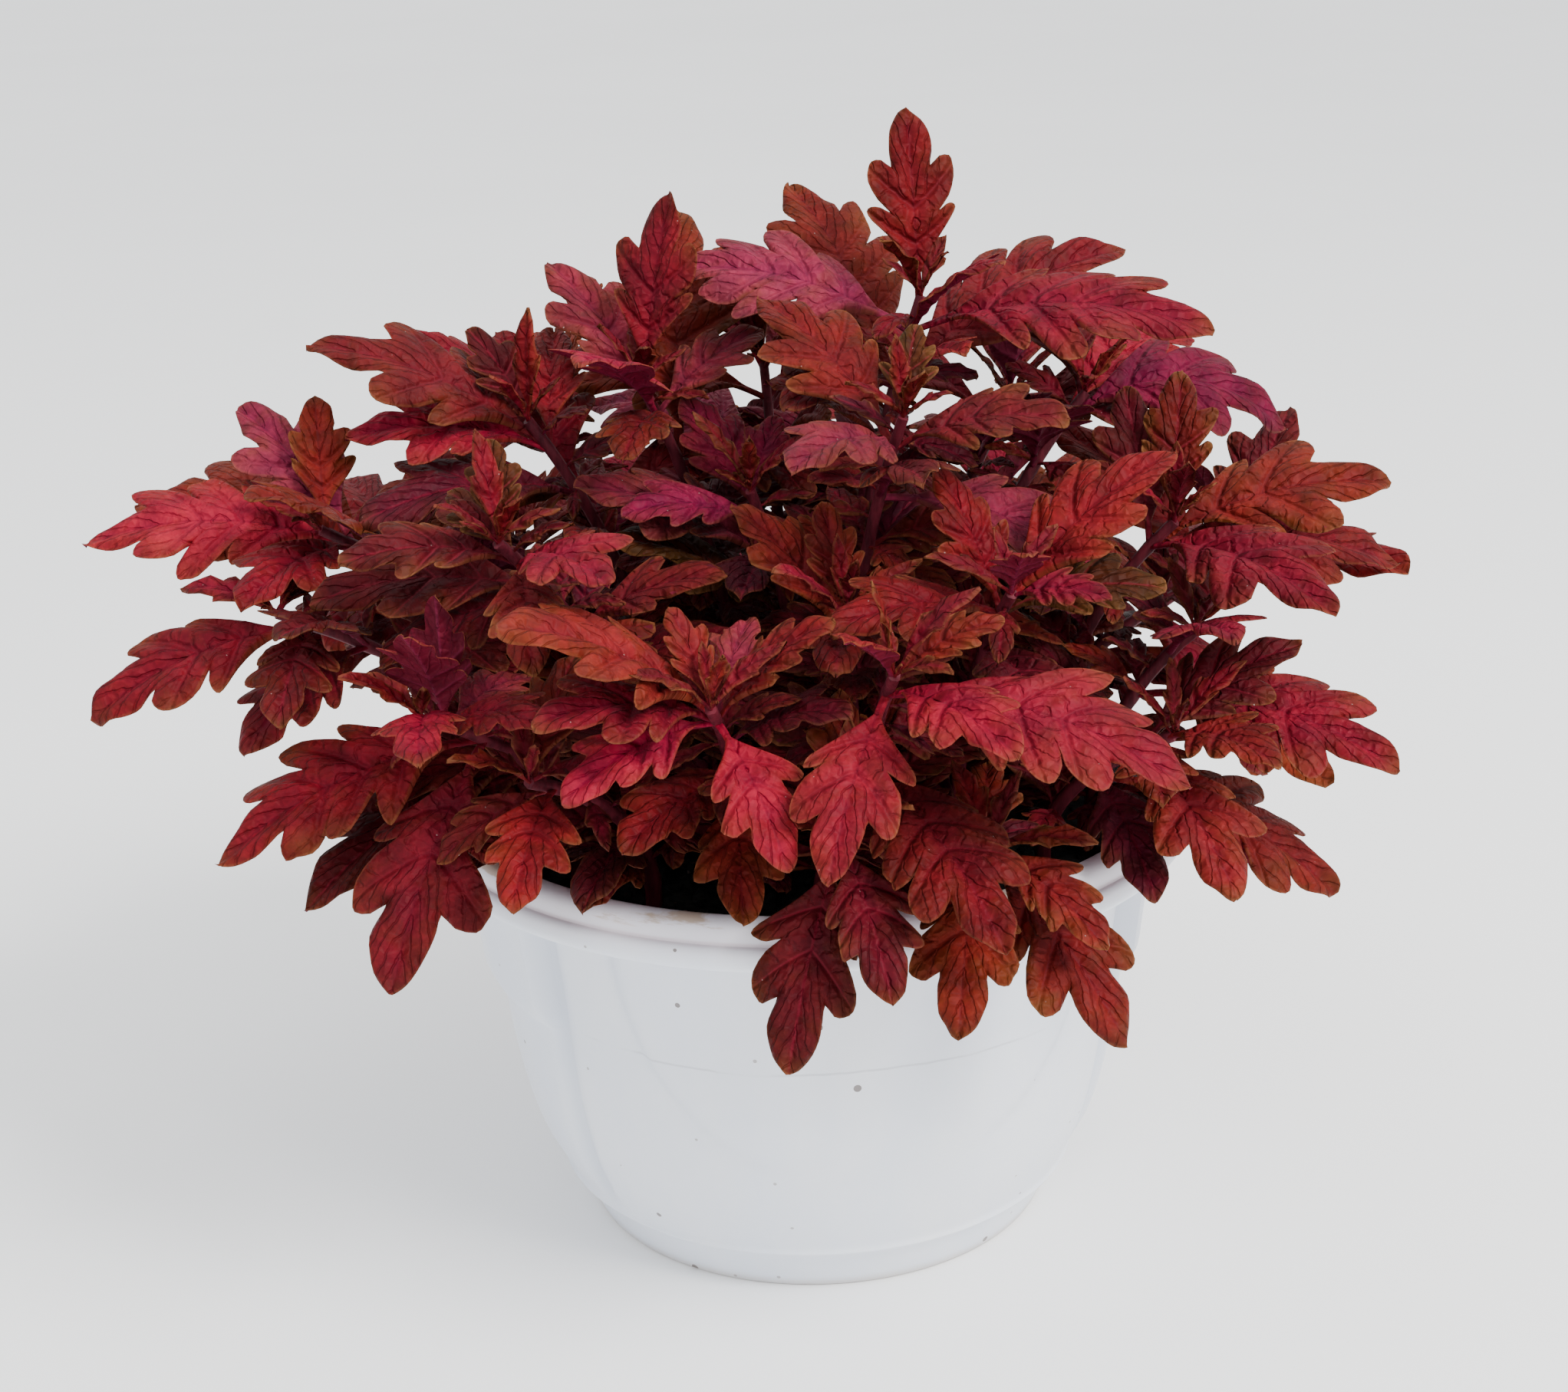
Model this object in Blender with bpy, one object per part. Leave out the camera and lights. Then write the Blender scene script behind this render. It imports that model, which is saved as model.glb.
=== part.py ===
# Coleus plant growing in a white plastic bowl pot
import random
from math import atan2, cos, degrees, pi, radians, sin

import bpy
from mathutils import Vector
from mathutils.bvhtree import BVHTree

MM = 0.001
TOUCH_GAP = 0.35 * MM

# Pot: a moulded bowl on a foot band, with a rolled rim and four raised panels
POT_SIDES = 32
FOOT_RADIUS = 76.8 * MM
FOOT_TOP_RADIUS = 82.3 * MM
FOOT_HEIGHT = 16.0 * MM
RIM_RADIUS = 125.0 * MM
WALL = 2.0 * MM
FLOOR = 2.5 * MM
# Height and radius of the bowl from the step above the foot up to the rim
BOWL = ((16.6, 84.8), (25.0, 89.2), (40.0, 95.0), (60.0, 99.4), (80.0, 101.9),
        (98.0, 103.6), (130.5, 107.6))
# Height, and distance in from the rim's widest line, from its underside to its inner lip
RIM = ((131.2, 4.0), (139.4, 0.0), (142.0, 1.8), (143.0, 4.2), (146.9, 7.2), (143.6, 12.4),
       (137.0, 17.4))
# Heights of the inner wall's rings, the last one inside the foot band
INNER = (124.0, 60.0, 25.0)
INNER_FOOT = (13.0, 79.0)
PANEL_TURN = radians(7)
PANEL_HALF_WIDTH = radians(37)
PANEL_EDGE = radians(8)
PANEL_LIFT = 3.4 * MM
PANEL_LOW = 62.0 * MM
PANEL_SIDE_RISE = 25.0 * MM
PANEL_FADE = 12.0 * MM
DRAIN_RADIUS = 4.5 * MM
DRAIN_RING = 48.0 * MM
DRAINS = 4

# Potting soil, level a little below the rim, with a plain hole for every stem
SOIL_LEVEL = 131.0 * MM
ROOT_DEPTH = 22.0 * MM

# Stems: square in section, as on every coleus
STEM_FOOT = 2.5 * MM
STEM_TIP = 1.5 * MM
STEM_RINGS = 6
STRAIGHT_START = 6.0 * MM
# How far below the stem's tip each pair of leaves springs
NODE_DROPS = (2.0 * MM, 12.0 * MM, 30.0 * MM, 52.0 * MM, 75.0 * MM)

# Leaves: a short stalk, then a lobed blade as wide as half its length
BLADE_HALF = 0.4 * MM
STALK_SHARE = 0.15
STALK_HALF_WIDTH = 1.3 * MM
STALK_HALF_THICKNESS = 0.9 * MM
LEAF_STEPS = 10
ARCH = 45.0
LIGHT_ROLL = 28.0
HALF_WIDTH = 0.305
LONG_LEAF = 84.0 * MM
SMALL_LEAF = 60.0 * MM
CUP_RISE = 0.14
CUP_DROOP = 9.5
# Each blade's side, from stalk to tip: share of the length, share of the half width, midrib point
SMALL_SIDE = ((0.00, 0.07, 0), (0.50, 1.00, 0), (0.50, 0.55, 1), (0.78, 0.60, 1))
MIDDLE_SIDE = ((0.00, 0.07, 0), (0.37, 0.88, 0), (0.35, 0.57, 0), (0.61, 1.00, 1),
               (0.55, 0.45, 1), (0.83, 0.48, 1))
LONG_SIDE = ((0.00, 0.07, 0), (0.32, 0.80, 0), (0.31, 0.52, 0), (0.53, 1.00, 0),
             (0.49, 0.55, 1), (0.70, 0.80, 1), (0.66, 0.36, 1), (0.86, 0.36, 1))
ENVELOPE_SIDE = ((0.00, 0.15, 0), (0.34, 0.98, 0), (0.60, 1.10, 1), (0.84, 0.62, 1))
# Points of the midrib that a blade's faces meet at
MIDRIB = (0.16, 0.40)
CLEAR_HALF = 1.6 * MM
TURNS = (6, 12, 18, 25, 33, 42, 52)
TRIMS = (1.0, 0.85, 0.7)

# Shoots seen from the front, nearest first: foot on the soil, tip of the stem (mm), then its
# leaves, each as node, azimuth, rise (degrees), length (mm) and, where it differs, arch (degrees)
FRONT_SHOOTS = {
    "shoot_rim_front": ((2, -92), (11, -125, 175), (
        (1, -115, -55, 68), (1, -75, -35, 56), (2, -10, 10, 44), (0, 95, 60, 42))),
    "shoot_rim_right": ((42, -80), (50, -115, 165), (
        (1, -100, -35, 64), (0, -45, -25, 48), (1, -45, -35, 72), (0, 85, 15, 40))),
    "shoot_rim_left": ((-48, -72), (-79, -115, 190), (
        (1, -145, -15, 40), (1, -100, -20, 54), (0, 60, 50, 40))),
    "shoot_front": ((15, -78), (24, -120, 220), (
        (1, -110, -35, 66), (1, -55, -5, 58), (0, 15, 20, 36), (0, -115, 30, 40), (1, -20, -15, 90),
        (3, -65, -20, 86))),
    "shoot_front_left": ((-20, -72), (-27, -120, 212), (
        (1, -150, 30, 78), (1, -145, 10, 62), (1, -145, -15, 54), (1, -65, -35, 54), (1, -5, 40, 46),
        (0, 130, 55, 32), (1, 75, 25, 42), (2, -35, 20, 48), (3, -125, -5, 56), (3, -100, -15, 56))),
    "shoot_low_left": ((-72, -50), (-109, -105, 206), (
        (2, -160, -20, 86), (0, -85, 5, 54), (1, -118, 30, 50), (1, -110, 55, 40), (1, -68, 30, 52),
        (1, 60, 0, 42), (2, -115, -45, 82), (3, -150, -25, 80))),
    "shoot_low_right": ((72, -52), (109, -70, 181), (
        (1, 15, 25, 60), (0, -60, 5, 52), (1, -70, -25, 66), (2, -5, -30, 86), (2, -75, -25, 56),
        (1, -90, 0, 52))),
    "shoot_left_mid": ((-52, -33), (-87, -80, 250), (
        (0, 100, 50, 34), (1, 135, 25, 36), (1, -60, 5, 60), (1, -160, 5, 54), (2, -170, 0, 72),
        (1, -115, 10, 52), (2, -165, -20, 56))),
    "shoot_right_centre": ((46, -38), (60, -80, 230), (
        (1, -145, 5, 64), (1, 130, 55, 48), (1, 20, 35, 72), (1, 0, 5, 50), (0, -85, 35, 36),
        (0, -60, 30, 34), (2, -75, -10, 60))),
    "shoot_centre": ((15, -42), (12, -70, 222), (
        (1, 155, 45, 54), (0, 110, 60, 36), (1, -120, 32, 58), (2, -90, 10, 50))),
    "shoot_second": ((12, -22), (31, -50, 276), (
        (1, 130, 30, 72), (1, -120, 5, 64), (0, 75, 45, 34), (1, -20, 10, 56), (2, -45, 20, 76),
        (2, -80, 10, 64))),
    "shoot_far_left": ((-80, -30), (-156, -60, 225), (
        (1, -165, -20, 72), (1, -95, -20, 50), (2, -125, 0, 60), (2, -125, -20, 58))),
    "shoot_far_right": ((90, -28), (120, -40, 204), (
        (2, -30, -10, 88), (1, -80, 20, 64), (0, 65, 10, 40))),
    "shoot_left": ((-75, 0), (-148, -20, 239), (
        (0, 100, 60, 44), (1, 140, 35, 64), (1, -180, 0, 86), (2, 155, 5, 106), (2, -125, 30, 76),
        (1, -115, -5, 62))),
    "shoot_right": ((78, -2), (116, -20, 233), (
        (0, 75, 60, 50), (1, 5, 10, 80), (1, 5, -10, 82), (1, -55, -5, 80), (2, -58, -10, 78),
        (1, 100, 55, 54))),
    "shoot_centre_back": ((0, 2), (-15, -20, 247), (
        (1, 130, 40, 50), (0, 70, 35, 32), (1, -118, 42, 50), (2, -165, 25, 72), (3, -150, 30, 76),
        (2, -113, 16, 66), (2, -5, 10, 58))),
    "shoot_top": ((14, 8), (40, 10, 300), (
        (0, 100, 75, 60), (1, 165, 10, 86), (2, 115, 35, 92), (1, -55, 30, 54), (1, -20, 0, 98),
        (2, 25, 20, 94), (2, -65, 20, 52), (2, -110, 20, 58))),
    "shoot_back_left": ((-20, 15), (-48, 0, 277), (
        (1, 135, 40, 66), (0, 60, 70, 62), (1, -100, -5, 50), (1, -110, 25, 66), (2, 90, 45, 98),
        (2, -75, 72, 66), (2, -38, 30, 60), (1, 35, 25, 48))),
    "shoot_upper_left": ((-45, 5), (-83, -10, 269), (
        (1, -175, 25, 82), (1, -170, 5, 64), (0, 140, 45, 38), (2, -150, 0, 76), (1, 90, 30, 54),
        (2, 120, 35, 72))),
    "shoot_top_right": ((45, 15), (94, 30, 263), (
        (1, 5, 8, 82, 95), (1, 42, 25, 86), (0, 105, 35, 48), (2, -75, 20, 58))),
}
# Shoots on the far side: foot on the soil, tip of the stem (mm), their leaves follow one rule
BACK_SHOOTS = {
    "shoot_back_mid": ((-5, 32), (-10, 65, 268)),
    "shoot_back_right": ((36, 38), (74, 78, 250)),
    "shoot_back_upper_left": ((-42, 32), (-86, 66, 246)),
    "shoot_back_far_left": ((-72, 28), (-142, 42, 208)),
    "shoot_back_far_right": ((76, 30), (148, 44, 200)),
    "shoot_rear_left": ((-56, 56), (-104, 116, 192)),
    "shoot_rear_mid": ((-12, 68), (-18, 128, 214)),
    "shoot_rear_right": ((38, 66), (72, 122, 196)),
    "shoot_rear_low_left": ((-28, 90), (-52, 142, 160)),
    "shoot_rear_low_right": ((18, 92), (34, 148, 164)),
}
# Pairs of the rule: node, rise (degrees) and length (mm)
BACK_PAIRS = ((0, 52, 54), (1, 25, 78), (2, 6, 82), (3, -12, 82))
BACK_SEED = 7
AZIMUTH_JITTER = 14.0
RISE_JITTER = 9.0
LENGTH_JITTER = 0.12

POT_WHITE = (0.78, 0.79, 0.82)
SOIL_BROWN = (0.035, 0.024, 0.018)
LEAF_TONES = ((0.62, 0.13, 0.07), (0.42, 0.045, 0.06), (0.27, 0.03, 0.05), (0.55, 0.17, 0.05))


def clear_scene():
    """Remove every object of the scene."""
    for item in list(bpy.context.scene.objects):
        bpy.data.objects.remove(item, do_unlink=True)


def finish(name, colour, roughness):
    """Return a plain material."""
    material = bpy.data.materials.new(name)
    material.use_nodes = True
    shader = material.node_tree.nodes["Principled BSDF"]
    shader.inputs["Base Color"].default_value = (*colour, 1.0)
    shader.inputs["Roughness"].default_value = roughness
    shader.inputs["Metallic"].default_value = 0.0
    material.diffuse_color = (*colour, 1.0)
    return material


def add_object(name, points, faces, material=None):
    """Return a new mesh object in the scene."""
    mesh = bpy.data.meshes.new(name)
    mesh.from_pydata([tuple(p) for p in points], [], faces)
    mesh.update()
    thing = bpy.data.objects.new(name, mesh)
    bpy.context.scene.collection.objects.link(thing)
    if material:
        mesh.materials.append(material)
    return thing


def apply_boolean(thing, helpers, operation):
    """Join or cut a thing with helper objects, then remove them."""
    group = bpy.data.collections.new(thing.name + "_helpers")
    for helper in helpers:
        group.objects.link(helper)
    step = thing.modifiers.new(operation.title(), "BOOLEAN")
    step.operation = operation
    step.solver = "EXACT"
    step.operand_type = "COLLECTION"
    step.collection = group
    depsgraph = bpy.context.evaluated_depsgraph_get()
    joined = bpy.data.meshes.new_from_object(thing.evaluated_get(depsgraph))
    thing.modifiers.clear()
    thing.data = joined
    for helper in helpers:
        bpy.data.objects.remove(helper, do_unlink=True)
    bpy.data.collections.remove(group)


def between(table, height):
    """Radius at a height, read along a list of heights and radii."""
    for (z0, r0), (z1, r1) in zip(table, table[1:]):
        if height <= z1:
            return r0 + (r1 - r0) * (height - z0) / (z1 - z0)
    return table[-1][1]


def smooth(value):
    """Soft step from 0 to 1."""
    value = min(max(value, 0.0), 1.0)
    return value * value * (3.0 - 2.0 * value)


def panel_lift(angle, height):
    """How far the raised panels stand out of the bowl."""
    turn = (angle - PANEL_TURN + pi / 4) % (pi / 2) - pi / 4
    side = smooth((PANEL_HALF_WIDTH - abs(turn)) / PANEL_EDGE)
    low = PANEL_LOW + PANEL_SIDE_RISE * (turn / PANEL_HALF_WIDTH) ** 2
    return PANEL_LIFT * side * smooth((height - low) / PANEL_FADE)


def ring(radius, height, sides=POT_SIDES):
    """Points round a level circle; the radius may be a function of the angle."""
    points = []
    for i in range(sides):
        angle = 2.0 * pi * i / sides
        r = radius(angle) if callable(radius) else radius
        points.append((r * cos(angle), r * sin(angle), height))
    return points


def lathe(name, rings, material):
    """Close a stack of rings from the middle of the underside to the middle of the top."""
    sides = len(rings[0])
    points = [p for row in rings for p in row]
    faces = [tuple(reversed(range(sides)))]
    for k in range(len(rings) - 1):
        for i in range(sides):
            j = (i + 1) % sides
            low, high = k * sides, (k + 1) * sides
            faces.append((low + i, low + j, high + j))
            faces.append((low + i, high + j, high + i))
    top = (len(rings) - 1) * sides
    faces.append(tuple(range(top, top + sides)))
    return add_object(name, points, faces, material)


def inner_radius(height):
    """Radius of the pot's inner wall."""
    return between(BOWL, max(height / MM, BOWL[0][0])) * MM - WALL


def inner_wall():
    """Height and radius down the inner wall to the floor."""
    wall = [(z * MM, inner_radius(z * MM)) for z in INNER]
    wall.append((INNER_FOOT[0] * MM, INNER_FOOT[1] * MM))
    wall.append((FLOOR, FOOT_RADIUS - WALL))
    return wall


def build_pot():
    """Bowl with foot band, raised panels, rolled rim and drain holes."""
    rings = [ring(FOOT_RADIUS, 0.0), ring(FOOT_TOP_RADIUS, FOOT_HEIGHT)]
    for z, r in BOWL:
        rings.append(ring(lambda a, z=z, r=r: r * MM + panel_lift(a, z * MM), z * MM))
    rings += [ring(RIM_RADIUS - inset * MM, z * MM) for z, inset in RIM]
    rings += [ring(r, z) for z, r in inner_wall()]
    pot = lathe("pot", rings, finish("pot_plastic", POT_WHITE, 0.45))
    cutters = []
    for i in range(DRAINS):
        angle = pi / 4 + 2.0 * pi * i / DRAINS
        bpy.ops.mesh.primitive_cylinder_add(
            vertices=8, radius=DRAIN_RADIUS, depth=4.0 * FLOOR,
            location=(DRAIN_RING * cos(angle), DRAIN_RING * sin(angle), 0.0))
        cutters.append(bpy.context.object)
    apply_boolean(pot, cutters, "DIFFERENCE")
    return pot


def stem_path(foot, tip):
    """Points and half widths up a stem: straight out of the soil, then leaning to its tip."""
    x, y = foot[0] * MM, foot[1] * MM
    bottom = Vector((x, y, SOIL_LEVEL - ROOT_DEPTH))
    start = Vector((x, y, SOIL_LEVEL + STRAIGHT_START))
    end = Vector(tip) * MM
    knee = start + Vector((0.0, 0.0, 0.55 * (end.z - start.z)))
    path = [bottom]
    for i in range(STEM_RINGS):
        f = i / (STEM_RINGS - 1)
        path.append(start.lerp(knee, f).lerp(knee.lerp(end, f), f))
    return path


def stem_point(path, drop):
    """The point on a stem that lies this far below its tip, along it."""
    for high, low in zip(reversed(path), list(reversed(path))[1:]):
        span = (high - low).length
        if drop <= span:
            return high.lerp(low, drop / span)
        drop -= span
    return path[0].copy()


def stem_mesh(path, extra=0.0):
    """Square tube along a stem."""
    points, faces = [], []
    last = len(path) - 1
    for i, point in enumerate(path):
        ahead = (path[min(i + 1, last)] - path[max(i - 1, 0)]).normalized()
        if i < 2:
            ahead = Vector((0.0, 0.0, 1.0))
        across = Vector((0.0, 1.0, 0.0)).cross(ahead).normalized()
        along = ahead.cross(across)
        half = STEM_FOOT + (STEM_TIP - STEM_FOOT) * max(i - 1, 0) / (last - 1) + extra
        for a, b in ((1, 1), (-1, 1), (-1, -1), (1, -1)):
            points.append(point + across * (a * half) + along * (b * half))
    faces.append((3, 2, 1, 0))
    for i in range(last):
        for k in range(4):
            j = (k + 1) % 4
            faces.append((4 * i + k, 4 * i + j, 4 * i + 4 + j, 4 * i + 4 + k))
    faces.append(tuple(4 * last + k for k in range(4)))
    return points, faces


def leaf_frame(base, azimuth, rise, length, arch):
    """Midrib points with their left and upward directions, from stalk to tip."""
    rows = []
    turn = radians(azimuth)
    roll = radians(LIGHT_ROLL) * cos(turn) * cos(radians(rise))
    point = Vector(base)
    for i in range(LEAF_STEPS + 1):
        slope = radians(rise + arch * (0.5 - i / LEAF_STEPS))
        ahead = Vector((cos(slope) * cos(turn), cos(slope) * sin(turn), sin(slope)))
        level = Vector((-sin(turn), cos(turn), 0.0))
        up = ahead.cross(level)
        rows.append((point.copy(), level * cos(roll) + up * sin(roll),
                     up * cos(roll) - level * sin(roll)))
        point += ahead * (length / LEAF_STEPS)
    return rows


def on_leaf(rows, along, side, lift=0.0):
    """Place a point of the flat leaf: share of the length, metres to the left, metres up."""
    place = min(max(along, 0.0), 1.0) * LEAF_STEPS
    i = min(int(place), LEAF_STEPS - 1)
    f = place - i
    point = rows[i][0].lerp(rows[i + 1][0], f)
    left = rows[i][1].lerp(rows[i + 1][1], f)
    up = rows[i][2].lerp(rows[i + 1][2], f)
    cup = CUP_RISE * abs(side) - CUP_DROOP * side * side
    return point + left * side + up * (cup + lift)


def blade_mesh(rows, length, outline, half):
    """Plate of a blade: both faces split alike, joined round the edge, open at the stalk."""
    blade = 1.0 - STALK_SHARE
    width = HALF_WIDTH * blade * length
    flat = [(STALK_SHARE + blade * m, 0.0) for m in MIDRIB]
    left = []
    right = []
    for along, side, _ in outline:
        left.append(len(flat))
        flat.append((STALK_SHARE + blade * along, side * width))
        right.append(len(flat))
        flat.append((STALK_SHARE + blade * along, -side * width))
    tip = len(flat)
    flat.append((1.0, 0.0))
    tops = []
    for hand, edge in ((1, left), (-1, right)):
        spots = list(zip(edge, (row[2] for row in outline))) + [(tip, len(MIDRIB) - 1)]
        for (p, m), (q, n) in zip(spots, spots[1:]):
            tops.append((m, q, p)[::hand])
            if n != m:
                tops.append((m, n, q)[::hand])
    tops.append((0, left[0], right[0]))
    size = len(flat)
    points = [on_leaf(rows, a, s, half) for a, s in flat]
    points += [on_leaf(rows, a, s, -half) for a, s in flat]
    faces = list(tops)
    faces += [tuple(size + v for v in reversed(face)) for face in tops]
    border = left + [tip] + right[::-1]
    for p, q in zip(border, border[1:]):
        faces.append((p, q, size + q))
        faces.append((p, size + q, size + p))
    return points, faces, (left[0], right[0], size + right[0], size + left[0])


def leaf_mesh(rows, length, outline, half, stalk=True):
    """Blade with its stalk, or the blade alone closed at its foot."""
    points, faces, mouth = blade_mesh(rows, length, outline, half)
    if not stalk:
        faces.append((mouth[0], mouth[1], mouth[2], mouth[3]))
        return points, faces
    w, t = STALK_HALF_WIDTH, STALK_HALF_THICKNESS
    first = len(points)
    for side, lift in ((w, t), (-w, t), (-w, -t), (w, -t)):
        points.append(on_leaf(rows, 0.0, side, lift))
    for k in range(4):
        j = (k + 1) % 4
        faces.append((first + k, first + j, mouth[j], mouth[k]))
    faces.append((first + 3, first + 2, first + 1, first))
    return points, faces


class Taken:
    """Space that stems and leaves already fill, kept as one search tree for each."""

    def __init__(self):
        self.items = []

    def add(self, owner, points, faces):
        """Remember a shape and the shoot that it belongs to."""
        self.items.append((owner, box(points), BVHTree.FromPolygons(points, faces)))

    def hit(self, points, faces, skip=None):
        """Say whether a shape crosses any other, but for those of one shoot."""
        low, high = box(points)
        tree = BVHTree.FromPolygons(points, faces)
        for owner, (other_low, other_high), other in self.items:
            if owner == skip:
                continue
            if any(low[k] > other_high[k] or high[k] < other_low[k] for k in range(3)):
                continue
            if tree.overlap(other):
                return True
        return False


def box(points):
    """Lowest and highest corner of some points."""
    low = [min(p[k] for p in points) for k in range(3)]
    high = [max(p[k] for p in points) for k in range(3)]
    return low, high


def tries():
    """Small changes of azimuth, rise and length, the smallest first."""
    for trim in TRIMS:
        yield 0, 0, trim
        for turn in TURNS:
            for a, r in ((0, 1), (0, -1), (1, 0), (-1, 0), (1, 1), (-1, -1), (1, -1), (-1, 1)):
                yield a * turn, r * turn, trim


def place_leaf(taken, shoot, path, leaf):
    """Bend a leaf clear of all that stands round it, and return its midrib frame and length.

    The stalk may cross its own shoot, which it grows from, but the blade may cross nothing.
    """
    node, azimuth, rise, length = leaf[:4]
    base = stem_point(path, NODE_DROPS[node])
    for turn, lift, trim in tries():
        slope = rise + lift
        arch = leaf[4] if len(leaf) > 4 else ARCH * cos(radians(slope))
        long = length * MM * trim
        rows = leaf_frame(base, azimuth + turn, slope, long, arch)
        whole = leaf_mesh(rows, long, ENVELOPE_SIDE, CLEAR_HALF)
        if taken.hit(*whole, skip=shoot):
            continue
        blade = leaf_mesh(rows, long, ENVELOPE_SIDE, CLEAR_HALF, stalk=False)
        if taken.hit(*blade):
            continue
        taken.add(shoot, *blade)
        return rows, long
    return None


def back_leaves(foot, tip, draw):
    """Crossed pairs down a shoot, each at a right angle to the pair above it."""
    outward = degrees(atan2(tip[1] - foot[1], tip[0] - foot[0]))
    leaves = []
    for k, (node, rise, length) in enumerate(BACK_PAIRS):
        for half_turn in (0, 180):
            azimuth = outward + 45 + 90 * k + half_turn + draw.uniform(-1, 1) * AZIMUTH_JITTER
            lean = 12.0 * cos(radians(azimuth - outward))
            leaves.append((node, azimuth, rise - lean + draw.uniform(-1, 1) * RISE_JITTER,
                           length * (1.0 + draw.uniform(-1, 1) * LENGTH_JITTER)))
    return leaves


def all_shoots():
    """Every shoot's stem path and wanted leaves, the front ones first."""
    shoots = {name: (stem_path(foot, tip), leaves)
              for name, (foot, tip, leaves) in FRONT_SHOOTS.items()}
    draw = random.Random(BACK_SEED)
    for name, (foot, tip) in BACK_SHOOTS.items():
        shoots[name] = (stem_path(foot, tip), back_leaves(foot, tip, draw))
    return shoots


def pot_space():
    """Plain turned shape round the pot and its soil that leaves stay clear of."""
    outline = [(0.0, FOOT_RADIUS), (60.0 * MM, 106.0 * MM), (128.0 * MM, 113.0 * MM),
               (131.0 * MM, 126.5 * MM), (148.5 * MM, 126.5 * MM), (148.5 * MM, 108.0 * MM),
               (SOIL_LEVEL, 106.0 * MM)]
    points = [Vector(p) for z, r in outline for p in ring(r, z)]
    faces = []
    for k in range(len(outline) - 1):
        for i in range(POT_SIDES):
            j = (i + 1) % POT_SIDES
            low, high = k * POT_SIDES, (k + 1) * POT_SIDES
            faces.append((low + i, low + j, high + j, high + i))
    top = (len(outline) - 1) * POT_SIDES
    faces.append(tuple(range(top, top + POT_SIDES)))
    return points, faces


def build_soil(shoots):
    """Soil that fills the pot, with a blind square hole for every stem."""
    wall = inner_wall()[::-1]
    rings = [ring(wall[0][1] - TOUCH_GAP, FLOOR + TOUCH_GAP)]
    rings += [ring(r - TOUCH_GAP, z) for z, r in wall[1:-1]]
    rings.append(ring(inner_radius(SOIL_LEVEL) - 2.0 * TOUCH_GAP, SOIL_LEVEL))
    soil = lathe("soil", rings, finish("potting_soil", SOIL_BROWN, 0.95))
    cutters = []
    half = STEM_FOOT + TOUCH_GAP
    for path, _ in shoots.values():
        low = path[0] - Vector((0.0, 0.0, TOUCH_GAP))
        high = path[0] + Vector((0.0, 0.0, ROOT_DEPTH + 5.0 * MM))
        corners = ((1, 1), (-1, 1), (-1, -1), (1, -1))
        points = [end + Vector((a * half, b * half, 0.0)) for end in (low, high) for a, b in corners]
        faces = [(3, 2, 1, 0), (4, 5, 6, 7)]
        faces += [(k, (k + 1) % 4, 4 + (k + 1) % 4, 4 + k) for k in range(4)]
        cutters.append(add_object("stem_hole", points, faces))
    apply_boolean(soil, cutters, "DIFFERENCE")
    return soil


def build_shoots(shoots):
    """One solid for each leafy stem, its leaves joined to it."""
    taken = Taken()
    taken.add("pot", *pot_space())
    for name, (path, _) in shoots.items():
        taken.add(name, *stem_mesh(path, CLEAR_HALF / 2))
    for number, (name, (path, leaves)) in enumerate(shoots.items()):
        blades = []
        for leaf in leaves:
            placed = place_leaf(taken, name, path, leaf)
            if placed is None:
                continue
            rows, long = placed
            outline = SMALL_SIDE if long < SMALL_LEAF else MIDDLE_SIDE
            outline = LONG_SIDE if long >= LONG_LEAF else outline
            blades.append(add_object("leaf", *leaf_mesh(rows, long, outline, BLADE_HALF)))
        tone = LEAF_TONES[number % len(LEAF_TONES)]
        shoot = add_object(name, *stem_mesh(path), finish(name + "_leaf", tone, 0.5))
        apply_boolean(shoot, blades, "UNION")


def main():
    clear_scene()
    shoots = all_shoots()
    build_pot()
    build_soil(shoots)
    build_shoots(shoots)


main()
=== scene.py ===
import random
from math import atan2, cos, degrees, pi, radians, sin

import bpy
import numpy as np
from mathutils import Matrix, Vector, noise
from mathutils.bvhtree import BVHTree


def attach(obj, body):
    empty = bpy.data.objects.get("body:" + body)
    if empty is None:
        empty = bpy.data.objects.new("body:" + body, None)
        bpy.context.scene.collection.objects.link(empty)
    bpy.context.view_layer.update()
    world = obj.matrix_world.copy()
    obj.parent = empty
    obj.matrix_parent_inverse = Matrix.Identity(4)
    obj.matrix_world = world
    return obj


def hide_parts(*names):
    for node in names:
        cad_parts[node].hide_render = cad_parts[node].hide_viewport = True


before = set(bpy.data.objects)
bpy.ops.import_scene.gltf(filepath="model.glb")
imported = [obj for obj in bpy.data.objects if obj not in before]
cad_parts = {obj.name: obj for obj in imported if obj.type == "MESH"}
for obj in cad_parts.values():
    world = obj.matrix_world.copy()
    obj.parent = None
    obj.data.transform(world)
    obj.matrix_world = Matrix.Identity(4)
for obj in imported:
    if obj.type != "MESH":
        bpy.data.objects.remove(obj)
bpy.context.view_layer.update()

mm = 0.001

# Camera
# The plant was photographed from in front and a little above, about 0.9 m away, with the frame
# turned slightly.
camera_place = Vector((-0.006, -0.7991, 0.4559))
camera_down = radians(19.52)
camera_yaw = radians(-0.05)
camera_roll = radians(-1.83)
bpy.ops.object.camera_add()
camera = bpy.context.object
camera.data.lens = 60.0
camera.data.sensor_width = 36.0
camera.matrix_world = (
    Matrix.Translation(camera_place) @ Matrix.Rotation(-camera_yaw, 4, "Z")
    @ Matrix.Rotation(pi / 2 - camera_down, 4, "X") @ Matrix.Rotation(camera_roll, 4, "Z"))
bpy.context.scene.camera = camera

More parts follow.
